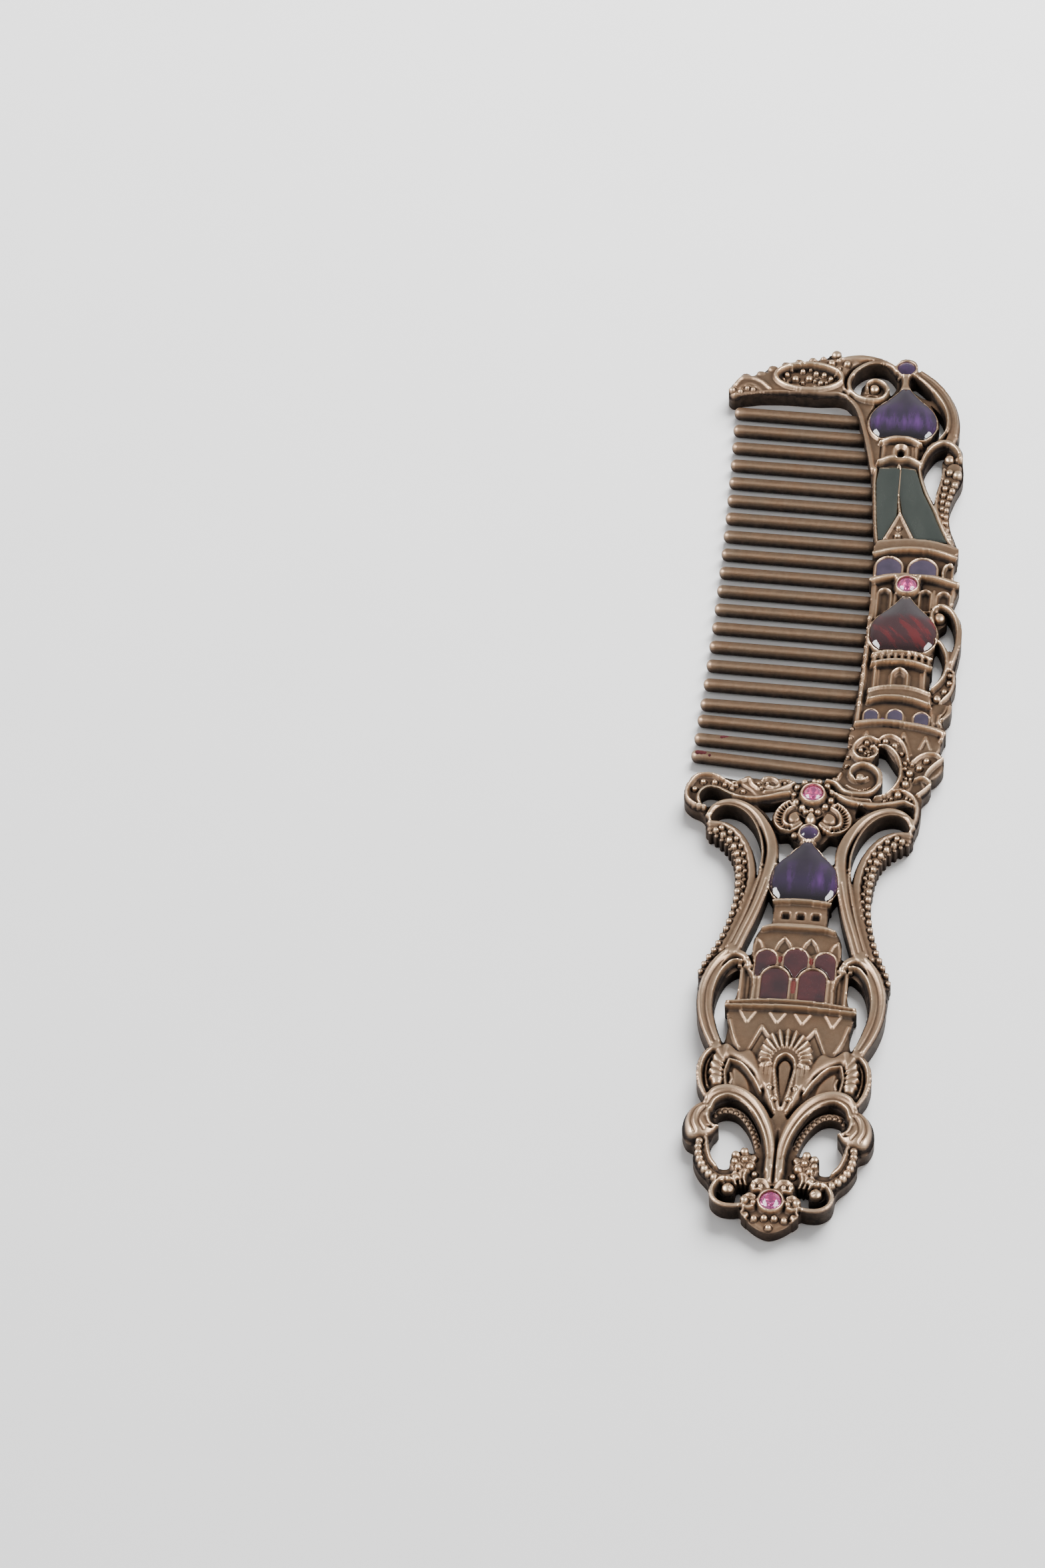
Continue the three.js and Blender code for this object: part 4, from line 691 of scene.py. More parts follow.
def crossguard(r):
    for x, half, y in [(7.8, 1.2, 0), (11.6, 1.3, 0.2), (15.8, 1.25, -0.1)]:
        r.rim(arch(x, 15.8 + y, 18.7 + y, half), 0.26, 3.1)
    r.rib([(17.6, 18.2), (17.7, 15.4)], 0.4, 2.9)
    r.curl([(5.6, 15.1), (8, 15.6), (11, 15.8), (15, 15.3), (18.2, 14.6), (19.5, 14)],
           [0.8, 0.75, 0.75, 0.85], 3.8)
    r.curl([(18.9, 14.6), (19.4, 13.9), (19.2, 12.8)], 0.55, 3.5)

    # The tower's foot: three engraved gables
    r.sheet([(5.2, 14.6), (11, 15.2), (18.6, 14), (19, 11), (17, 9), (14, 6), (9, 12), (5.4, 8.6)], 2.75)
    for x, y, legs in [(7.35, 14, 2.0), (13.3, 14.2, 4.6), (16.8, 13.6, 2.6)]:
        r.rib([(x, y), (x - 0.25 - legs * 0.24, y - legs)], 0.26, 3.05)
        r.rib([(x, y), (x + 0.25 + legs * 0.24, y - legs)], 0.26, 3.05)
        r.groove([(x, y - 1.2), (x - legs * 0.16, y - legs)], 0.3, 0.3)

    # The beaded curl
    r.plate(ellipse(7.4, 10.2, 2.05), 2.6)
    r.curl([(9.3, 11.9), (8.2, 12.5), (6.9, 12.2), (5.8, 11), (5.6, 9.6), (6.4, 8.3), (7.8, 8.0),
            (9.0, 8.7), (9.35, 9.9), (8.8, 10.8)], [0.45, 0.5, 0.55, 0.5, 0.45], 3.55)
    r.beads([(7.6, 11.5), (8.5, 10.8), (6.7, 10.0)], 0.4, 3.55)
    r.beads([(7.5, 9.4), (8.1, 9.1), (8.0, 9.7)], 0.24, 3.35)
    r.pit(ellipse(7.2, 10.6, 0.5, 0.35), 2.0, 0.2)

    # The great C scroll with its row of beads, and its crescent opening
    r.sheet([(9.2, 12.2), (10.6, 13.4), (12.4, 13), (13.9, 11), (14.5, 8.4), (15.2, 6), (15, 3), (14, 0.8),
             (12, -0.4), (9, -0.6), (11.4, 1), (12.9, 3.2), (13.3, 6), (12.4, 9), (10.6, 10.9)], 2.75)
    r.curl([(9.2, 11.8), (10.2, 13), (11.6, 13.2), (13, 12.2), (13.9, 10.4), (14.3, 8.4)], 0.42, 3.4)
    r.curl([(9.5, 11), (11, 10.8), (12.4, 9.4), (13.2, 7.2), (13.3, 5), (12.6, 2.8), (11.2, 1), (9.6, 0.2)],
           [0.35, 0.45, 0.5, 0.5, 0.45, 0.4], 3.6)
    r.beads([(10.5, 12.0), (12, 11.2)], 0.46, 3.6)
    r.beads([(13.2, 9.6), (13.85, 7.7), (13.9, 6.6)], 0.36, 3.4)
    r.beads([(14.7, 5.7), (14.2, 3.5), (13.2, 1.2)], 0.56, 3.8)
    r.beads([(14.2, 4.7), (14.9, 4.6), (14, 2.3), (12.2, 0.4), (11.2, -0.1)], 0.26, 3.1)

    # The spiral: one rib winding in to its eye
    spiral = smooth([(1.9, 3.0), (3.2, 2.7), (5, 1.0), (7.2, 0.65), (9.0, 1.3), (10.1, 3.0), (10.0, 5.0),
                     (8.9, 6.4), (7.2, 6.9), (5.8, 6.2), (5.4, 4.9), (6.0, 3.9)])
    r.sheet([(3.6, 4), (4.2, 1.6), (7.2, 0.5), (9.6, 1.6), (10.4, 4), (9.4, 6.4), (7.2, 7.2), (5.4, 6.4)],
            2.5)
    r.rib(spiral, [0.5, 0.7, 0.8, 0.85, 0.85, 0.8, 0.7, 0.6, 0.5], 3.7)
    r.curl([(5.6, 4.2), (6.3, 3.7), (7.3, 3.8), (8.2, 4.4)], 0.5, 3.3)
    r.bead(7.05, 4.25, 0.78, 4.0)
    r.curl([(8.9, 2.6), (7.6, 1.9), (6.2, 2.1), (5.0, 2.8)], 0.3, 3.0)
    r.beads([(7.9, 2.1), (7.2, 1.8)], 0.24, 3.2)
    r.curl([(4, 2.2), (3.4, 3.4), (4, 5.2)], 0.35, 3.1)
    r.bead(3.1, 3.8, 0.4, 3.3)
    for y in (6.8, 8.6, 10.6, 12.4, 14.4):
        r.bead(4.75 + 0.03 * (y - 6), y, 0.3, 2.95)

    # The leaf on the right, then the tail that runs down to the arm
    r.sheet([(14.6, 7.4), (15.8, 9.4), (17.4, 10.2), (19.2, 9.8), (19.7, 8.6), (19.4, 6.4), (18, 5),
             (17.4, 3), (16.4, 4.6), (15.2, 5.4)], 2.6)
    r.curl([(14.9, 7.9), (15.9, 9.2), (17.3, 10), (18.8, 9.9), (19.6, 9)], 0.42, 3.4)
    r.curl([(19.7, 9), (18.6, 7.8), (17.5, 6.2), (17.1, 4.9)], [0.4, 0.5, 0.45], 3.6)
    r.curl([(15.6, 4.4), (16.5, 4.9), (17.6, 4.5), (18, 3.6), (17.2, 2.4), (16.2, 1.4)],
           [0.35, 0.5, 0.5, 0.4], 3.6)
    r.bead(17.2, 8.6, 0.5, 3.6)
    r.bead(16.15, 7, 0.5, 3.6)
    r.bead(15, 7.6, 0.3, 3.2)
    r.sheet([(9, -0.3), (13, 0), (15, 1.6), (16.6, 1.6), (17, -0.6), (16.6, -4.8), (15.9, -3), (15.8, -1.4),
             (14.4, -0.8), (12, -1.4), (9, -1.6), (5, -1), (4, 0)], 2.8)
    r.curl([(12.6, 1.9), (13.8, 2.0), (15.2, 1.2), (16, 0.0), (16.3, -1.6), (16.2, -3.4), (16, -5)],
           [0.35, 0.5, 0.55, 0.5], 3.6)
    r.curl([(4, 0), (5.6, -0.8), (8, -1.3), (10.4, -1.3), (12.6, -0.7), (14.4, -0.3), (15.6, -0.9)],
           [0.5, 0.7, 0.75, 0.6, 0.45], 3.6)
    r.curl([(2.6, 1.2), (4.2, 0.2), (6.4, -0.2), (9, -0.3)], [0.5, 0.6, 0.4], 3.45)
    r.beads([(11, 0.7), (12.2, 0.4), (14.6, 0.6), (15.2, 0.4)], 0.26, 3.2)

    # The left scroll: a beaded plate inside a rim, a leaf that runs in to the stone
    r.sheet([(-19.8, -1), (-18.9, 1.6), (-17, 3), (-14, 2.6), (-11, 1), (-8.6, -0.8), (-12.6, -0.9),
             (-15, 0.2), (-17, 0.2), (-18, -1), (-17.4, -3), (-18.4, -3.4)], 2.7)
    r.curl([(-16.6, -3.6), (-18.2, -3.2), (-19.4, -2.2), (-19.8, -0.6), (-19.4, 1.1), (-18.4, 2.6),
            (-16.8, 3.05), (-15.2, 2.7), (-13.8, 1.8), (-12.6, 1.0)], [0.5, 0.55, 0.55, 0.5, 0.4], 3.55)
    r.curl([(-17.2, -3.4), (-17.9, -2.2), (-17.7, -0.6), (-16.6, 0.35), (-15, 0.3), (-13.4, -0.5),
            (-11.4, -1.3), (-8.8, -1.3), (-6.6, -0.6), (-5.0, -0.1), (-3.6, 0.2)],
           [0.4, 0.45, 0.45, 0.6, 0.7, 0.55], 3.6)
    r.beads([(-18.6, 0.0), (-17.4, 1.6), (-15.6, 1.6)], 0.44, 3.6)
    r.beads([(-14.0, 1.2), (-12.8, 0.5), (-12.2, 1.2), (-11, 0.1), (-14.3, 2.2)], 0.36, 3.4)
    r.beads([(-18.4, -3.2), (-16.7, -3.6), (-17.6, -3.5)], 0.38, 3.5)
    r.sheet([(-12, 2.3), (-10, 2.9), (-7, 2.6), (-4, 2.7), (-3.2, 0.6), (-5, -0.2), (-8, -0.9), (-10, 0.6)],
            2.9)
    r.curl([(-12.9, 1.6), (-11.4, 2.1), (-10.2, 2.7), (-9.6, 1.6), (-8.6, 0.7)], [0.35, 0.5, 0.4], 3.4)
    r.curl([(-8.0, 2.6), (-7.0, 2.9), (-5.9, 2.5), (-5.5, 1.6), (-6.2, 1.0), (-7.2, 1.3)], 0.42, 3.5)
    r.curl([(-7.6, 0.2), (-6, 0.5), (-4.4, 1.4), (-3.2, 2.2)], [0.4, 0.6, 0.5], 3.4)
    r.curl([(-5.4, 2.6), (-4.2, 2.7), (-3, 2.4)], 0.4, 3.3)
    r.beads([(-8.7, 1.7), (-8.2, 0.9), (-4.6, 2.1), (-7.3, 1.9)], 0.28, 3.4)
    r.score([(-9, -1.0), (-7, -0.6), (-5, 0.3), (-3.6, 0.9)], 0.3, 0.35)

    # The centre: the stone's ring of beads, two wings and the buds below
    r.plate(ellipse(0, 0, 3.35), 2.75)
    bezel(r, 0, 0, 4.05)
    for k in range(12):
        angle = math.pi / 2 + k * math.pi / 6 + 0.26 * (k > 6)
        size = 0.5 if k % 3 else 0.42
        r.bead(2.95 * math.cos(angle), 2.95 * math.sin(angle), size, 3.75)
    for side, wide in ((-1, 1.0), (1, 1.12)):
        wing = sided(side * wide, [(3.5, -1.2), (4.8, -2.4), (5.6, -4.2), (5.5, -5.9), (4.4, -7.1),
                                   (3, -7.2), (1.9, -6.5), (1.2, -5.6)])
        inner = sided(side * wide, [(2.6, -2.0), (3.6, -2.8), (4.1, -4.3), (4, -5.5), (3.2, -6.2),
                                    (2.2, -6), (1.4, -5.2)])
        r.sheet(wing + [(0, -3)], 2.5)
        middle = smooth([((a[0] + b[0]) / 2, (a[1] + b[1]) / 2) for a, b in zip(wing, inner)])
        r.rib(middle, [0.8, 1.6, 1.75, 1.7, 1.3], 3.1, 0.15)
        r.curl(wing, [0.25, 0.3, 0.3, 0.28], 3.4)
        r.curl(inner, [0.22, 0.28, 0.28, 0.25], 3.35)
        for k in range(3, len(middle) - 8, 3):
            ahead = (middle[k + 1] - middle[k]) / math.hypot(*(middle[k + 1] - middle[k]))
            across = np.array([-ahead[1], ahead[0]])
            corners = [middle[k] + 0.42 * i * across + 0.19 * j * ahead for i, j in oblong(0, 0, 1, 1)]
            r.pit(corners, 2.0, 0.05)
        r.pillow(sided(side * wide, [(2.2, -3.3), (3.3, -3.9), (3.4, -5), (2.6, -5.5), (1.7, -4.9)]), 2.8,
                 3.1, 0.5)
    r.hollow([(-2.3, -3.6), (-1.2, -3.9), (-0.8, -5), (-1.2, -5.6), (-1.5, -4.6)], 1.9, 0.2)
    r.hollow([(2.3, -3.5), (1.2, -3.9), (0.8, -5), (1.2, -5.6), (1.5, -4.6)], 1.9, 0.2)
    r.beads([(-0.85, -3.15), (0.95, -3.05)], 0.5, 3.75)
    r.pillow(whole([(0, -3.5), (0.75, -4.5), (0.8, -5.4), (0, -6.1)]), 2.9, 3.9, 0.8)
    r.groove([(-0.9, -4.45), (0.9, -4.45)], 0.3, 0.3)
    r.bead(-2.2, -8.0, 0.6, 3.7)
    r.bead(2.2, -6.9, 0.35, 3.4)
    r.plate(ellipse(0, -7.7, 1.7), 3.3)
    r.rim(ellipse(0, -7.7, 1.56), 0.34, 3.75)
    r.beads([(-0.6, -9.35), (0.65, -9.35)], 0.3, 3.6)


def grip(r):
    for arm in mirrored([(-15.9, -5.4), (-15.2, -3.9), (-13.8, -2.9), (-12.1, -2.65), (-10.2, -3.3),
                         (-8.2, -5), (-6.6, -7.6), (-5.5, -10.8), (-5.45, -14), (-5.9, -17), (-6.4, -20),
                         (-7.3, -24), (-8.6, -28.2), (-9.7, -31.6)]):
        r.curl(arm, [0.9, 1.2, 1.4, 1.6, 1.9, 2.0, 2.0, 1.9, 1.8, 1.9, 2.0, 2.2], 3.9, 0.75)
    for rim in mirrored([(-15.6, -6.2), (-15.8, -5.2), (-14.8, -3.8), (-12.9, -3.2), (-10.7, -3.9),
                         (-8.8, -5.9), (-7.4, -9), (-6.75, -12.4), (-6.85, -15.4), (-7.2, -18),
                         (-7.75, -21), (-8.7, -25), (-9.8, -28.6), (-10.6, -31)]):
        r.curl(rim, 0.42, 3.75)
    for rim in mirrored([(-5.3, -18.6), (-5.9, -20.6), (-6.7, -23.6), (-7.8, -27.2), (-8.9, -30.8)]):
        r.curl(rim, 0.45, 3.85)
    for line in mirrored([(-5.7, -17.6), (-6.3, -20.6), (-7.1, -23.8), (-8.2, -27.4), (-9.3, -31)]):
        r.score(line, 0.3, 0.35)
    for line in mirrored([(-14.9, -3.5), (-12.8, -2.9), (-10.4, -3.6), (-8.3, -5.7), (-6.9, -9),
                          (-6.3, -12.4), (-6.45, -15.6), (-6.9, -18.6), (-7.6, -22), (-8.7, -26),
                          (-10, -30.4)]):
        r.score(line, 0.3, 0.4)

    # The inner band: a smooth rib with two rows of beads along its outer side
    for path in mirrored([(-15.7, -6.6), (-13.5, -6.8), (-11.3, -8.2), (-9.5, -10.9), (-8.5, -14),
                          (-8.1, -17), (-8.3, -20), (-9.1, -24), (-10.1, -27.6), (-11.4, -31.4)]):
        r.curl(path, [0.7, 1.0, 1.3, 1.5, 1.4, 1.0], 3.35, 0.5)
    for side in (-1, 1):
        row = smooth(sided(side, [(15.0, -7.5), (13.4, -8.5), (11.9, -9.9), (10.8, -11.8), (10.2, -13.8),
                                  (9.95, -16), (9.85, -18.6), (9.85, -21), (10.2, -24), (10.8, -27),
                                  (11.7, -30), (12.7, -32.4), (13.7, -34.8), (14.1, -36.6)]))
        r.rib(row, [1.8, 1.9, 1.6, 1.3, 1.2, 1.2, 1.1, 0.9], 2.9, 0.3)
        r.bead_row(row, 1.5, (0.48, 0.44), 3.75, 0.28 * side)
        inner = smooth(sided(side, [(13.9, -7.5), (12.4, -8.2), (11, -9.8), (9.9, -12.2), (9.35, -15),
                                    (9.2, -18), (9.3, -21), (9.9, -25)]))
        r.bead_row(inner, 1.5, (0.45, 0.28), 3.7, 0.0, 0.15)
        outer = smooth(sided(side, [(15.6, -8.2), (13.9, -9.3), (12.3, -11), (11.2, -13), (10.6, -15.6),
                                    (10.4, -19)]))
        r.bead_row(outer, 1.1, (0.38, 0.24), 2.9, 0.0, 0.3)

    # The ring arms round the tower
    for path in mirrored([(-7.0, -33.9), (-7.9, -32.4), (-9.3, -31.9), (-11.0, -32.8), (-12.4, -35.6),
                          (-13.05, -39), (-12.9, -43), (-12.05, -46.3), (-10.7, -49.6)]):
        r.curl(path, [0.9, 1.4, 2.1, 2.4, 2.5, 2.4, 1.9], 3.7, 0.55)
    for path in mirrored([(-10.6, -31.8), (-12, -33.8), (-13.2, -36.6), (-13.8, -40), (-13.5, -43.6),
                          (-12.6, -46.8), (-11.4, -49.4)]):
        r.curl(path, 0.62, 3.95)
    for path in mirrored([(-8.2, -33.4), (-9.6, -33.6), (-10.9, -35.2), (-11.9, -38.4), (-12.1, -42),
                          (-11.5, -45.4), (-10.2, -48.8)]):
        r.curl(path, 0.5, 3.75)
    for path in mirrored([(-9.2, -32.4), (-10.8, -33.4), (-12.2, -35.8), (-13, -39), (-12.9, -42.8),
                          (-12.1, -46), (-10.9, -49)]):
        r.score(path, 0.35, 0.3)


def tower(r):
    r.rim(onion(0, -21.2, -9.5, 5.4), 0.26, 3.55)
    r.curl([(-1.1, -9.4), (0, -9.7), (1.1, -9.4)], 0.35, 3.5)
    r.plate([(-4.1, -26.2), (4.1, -26.2), (4.1, -21.7), (-4.1, -21.7)], 2.75)
    r.curl([(-4.2, -21.55), (-2.4, -21.3), (0, -21.2), (2.4, -21.3), (4.3, -21.55)], [0.6, 0.75, 0.6], 3.7)
    for x in (-2.3, 0, 2.35):
        window = oblong(x, -23.775, 0.7, 0.675)
        r.rim(window, 0.2, 2.9)
        r.pit(window, 2.05, 0.12)
    r.plate(smooth([(-6.6, -34), (-6.5, -29), (-5.7, -26.8), (5.7, -26.8), (6.5, -29), (6.6, -34)]), 2.7)
    r.curl([(-5.5, -26.9), (-4.2, -26.45), (0, -26.25), (4.2, -26.45), (5.5, -26.9)],
           [0.5, 0.95, 1.0, 0.95, 0.5], 3.75)
    for x, y in [(-2.0, -28), (2.05, -28)]:
        niche = smooth([(x - 1.25, y - 2.6), (x - 1.05, y - 1.4), (x, y), (x + 1.05, y - 1.4),
                        (x + 1.25, y - 2.6)])
        r.pit(np.vstack([niche, [(x, y - 3.2)]]), 2.35, 0.15)
        r.rib([(x - 1.45, y - 2.7), (x - 0.85, y - 1.05), (x, y)], 0.2, 3.1)
        r.rib([(x + 1.45, y - 2.7), (x + 0.85, y - 1.05), (x, y)], 0.2, 3.1)
    for side in (-1, 1):
        r.curl(sided(side, [(6.25, -28.5), (5.5, -29.2), (5.05, -30.4)]), 0.26, 3.1)
        r.curl(sided(side, [(6.35, -28.5), (6.6, -30), (6.5, -33)]), 0.3, 3.0)

    # The two arcades
    r.plate([(-8.2, -40.4), (8.2, -40.4), (8.2, -35), (6.6, -33), (-6.6, -33), (-8.2, -35)], 2.5)
    for x, y, half in [(-4.5, -30.55, 1.72), (0, -30.0, 2.0), (4.5, -30.55, 1.72)]:
        r.rim(arch(x, -36, y, half), 0.28, 3.15)
    for x in (-2.85, 2.85):
        r.plate(arch(x, -40, -33.8, 2.3), 2.9)
        r.rim(arch(x, -40.2, -33.85, 2.28), 0.3, 3.25)
    r.rib([(0, -35.6), (0, -40)], 0.7, 2.9)
    for side in (-1, 1):
        r.rib(sided(side, [(5.65, -36), (5.65, -40.2)]), 0.95, 2.85, 0.15)
        r.pit(smooth(sided(side, [(6.3, -40), (6.25, -36.6), (6.8, -35), (7.5, -34.4), (7.6, -40)])), 2.25,
              0.15)
        r.curl(sided(side, [(6.15, -40.2), (6.1, -36.6), (6.6, -35), (7.7, -33.9)]), 0.3, 3.1)
        r.rib(sided(side, [(8.0, -34.2), (8.0, -40.4)]), 0.4, 3.0)
        r.rib(sided(side, [(6.85, -35.6), (6.85, -40.4)]), 0.22, 2.5)
        r.bead(side * 7.1, -33.6, 0.4, 3.4)
        r.bead(side * 8.4, -33.9, 0.4, 3.4)

    # The double ledge, and the bowl hung with triangles
    r.sheet(whole([(0, -40.5), (5, -40.7), (9.6, -41.3), (9.6, -42.2), (5, -41.9), (0, -41.7)]), 3.0)
    r.curl([(-9.5, -41.3), (-5, -40.7), (0, -40.5), (5, -40.7), (9.5, -41.3)], 0.42, 3.75)
    r.curl([(-9.6, -42.1), (-5, -41.8), (0, -41.55), (5, -41.8), (9.6, -42.1)], 0.5, 3.85)
    for side in (-1, 1):
        r.rib(sided(side, [(9.6, -41.3), (9.75, -42.1)]), 0.45, 3.7)
    r.sheet([(-9.2, -42.2), (9.2, -42.2), (8.6, -46.5), (7.4, -49.6), (5, -52), (0, -52), (-5, -52),
             (-7.4, -49.6), (-8.6, -46.5)], 2.7)
    for x, tip in [(-6.4, -44.5), (-1.9, -44.3), (1.9, -44.3), (6.5, -44.6)]:
        r.cushion([(x - 1.1, -42.4), (x + 1.1, -42.4), (x, tip)], 2.8, 3.0, 0.5)
        r.rib([(x - 1.15, -42.4), (x, tip), (x + 1.15, -42.4)], 0.2, 3.1)
    for side in (-1, 1):
        r.curl(sided(side, [(8.95, -44.2), (8.3, -46.6), (7.2, -49.2)]), 0.24, 3.05)
        r.rib(sided(side, [(5.9, -50), (4.05, -44.9), (2.4, -47.4)]), 0.24, 3.1)
        r.groove(sided(side, [(5.4, -49.6), (4.0, -46), (2.9, -47.6)]), 0.5, 0.3)


def palmette(r):
    # The outer bulges, and the gadrooned leaves inside them
    for path in mirrored([(-11.0, -49.8), (-12.2, -51.6), (-12.65, -54), (-12.3, -56.6), (-11.2, -59)]):
        r.curl(path, [0.7, 0.8, 0.85, 0.8, 0.7], 3.6)
    for path in mirrored([(-10.9, -50.8), (-11.6, -52.6), (-11.7, -54.6), (-11.3, -56.8)]):
        r.curl(path, 0.35, 3.0)
    for side in (-1, 1):
        r.pillow(sided(side, [(5.4, -49.8), (7, -50.2), (8.8, -48.9), (10, -49.4), (10.8, -51.4),
                              (11.0, -54), (10.4, -56.6), (9.2, -56.4), (9.2, -53), (8.4, -51.4),
                              (6.6, -52), (4.6, -54), (3.4, -57), (2.6, -56), (3.8, -52.4)]), 2.7, 3.45,
                 0.9)
        for x, y, dx, dy in [(9.0, -49.6, 0.1, -1.9), (9.9, -50.4, -0.8, -1.7), (10.5, -51.6, -1.3, -1.3),
                             (10.8, -52.9, -1.5, -0.9), (10.9, -54.2, -1.6, -0.5),
                             (10.7, -55.4, -1.5, -0.1)]:
            r.curl(sided(side, [(x, y), (x + dx * 0.5 + 0.1, y + dy * 0.45), (x + dx, y + dy)]),
                   [0.75, 0.6, 0.3], 3.6)
        r.hollow(sided(side, [(8.4, -52.1), (6.6, -52.7), (4.8, -55), (3.4, -58), (6, -57.6), (8.4, -57)]),
                 2.35, 0.2)
        r.pillow(sided(side, [(7.6, -53), (6.4, -53.8), (5.2, -55.6), (5, -57.6), (7.4, -57.2),
                              (7.7, -55)]), 2.45, 2.85, 0.8)
        r.curl(sided(side, [(8.5, -52.0), (8.85, -54), (8.5, -56.6)]), 0.4, 3.3)
        r.curl(sided(side, [(8.4, -51.8), (6.5, -52.4), (4.6, -54.7), (3.2, -57.4)]), 0.42, 3.4)
        r.curl(sided(side, [(8.0, -54), (7.8, -55), (8, -56)]), 0.3, 3.0)

    # The fan: narrow lobes that run out from a teardrop
    r.pillow(whole([(0, -45.6), (1.6, -46.4), (3.2, -48.2), (4.2, -50.4), (4.4, -52.4), (3.4, -55),
                    (2.4, -58.5), (1.2, -61), (0, -62)]), 2.6, 3.1, 0.8)
    for k in range(15):
        angle = math.radians(-24 + 228 * k / 14)
        far, near = 3.9 + 0.9 * math.sin(angle) ** 2, 2.3
        x, y = math.cos(angle), math.sin(angle)
        r.rib([(near * x, -51.2 + near * y), ((far - 0.2) * x, -50.9 + far * y * 1.05)], [0.35, 0.62, 0.5],
              3.75)
    for side in (-1, 1):
        for x, y, far, low in [(3.4, -52.4, 2.1, -57), (2.7, -52.2, 1.6, -59), (2.1, -53, 1.0, -60.6)]:
            r.curl(sided(side, [(x, y), (x * 0.95, (y + low) / 2), (far, low)]), [0.5, 0.55, 0.35], 3.5)
        r.bead(side * 1.1, -58.6, 0.4, 3.7)
        r.bead(side * 1.85, -56.6, 0.35, 3.6)
    drop = smooth(whole([(0, -50.2), (1.1, -50.9), (1.5, -52.4), (1.2, -55), (0.7, -58), (0, -60.4)]), True)
    r.pit(drop, 2.35, 0.2)
    r.rim(drop, 0.38, 3.5)
    r.pillow(whole([(0, -51.1), (0.95, -52), (1.0, -53.4), (0.75, -56), (0.4, -58.4), (0, -59.6)]), 2.5,
             2.95, 0.5)


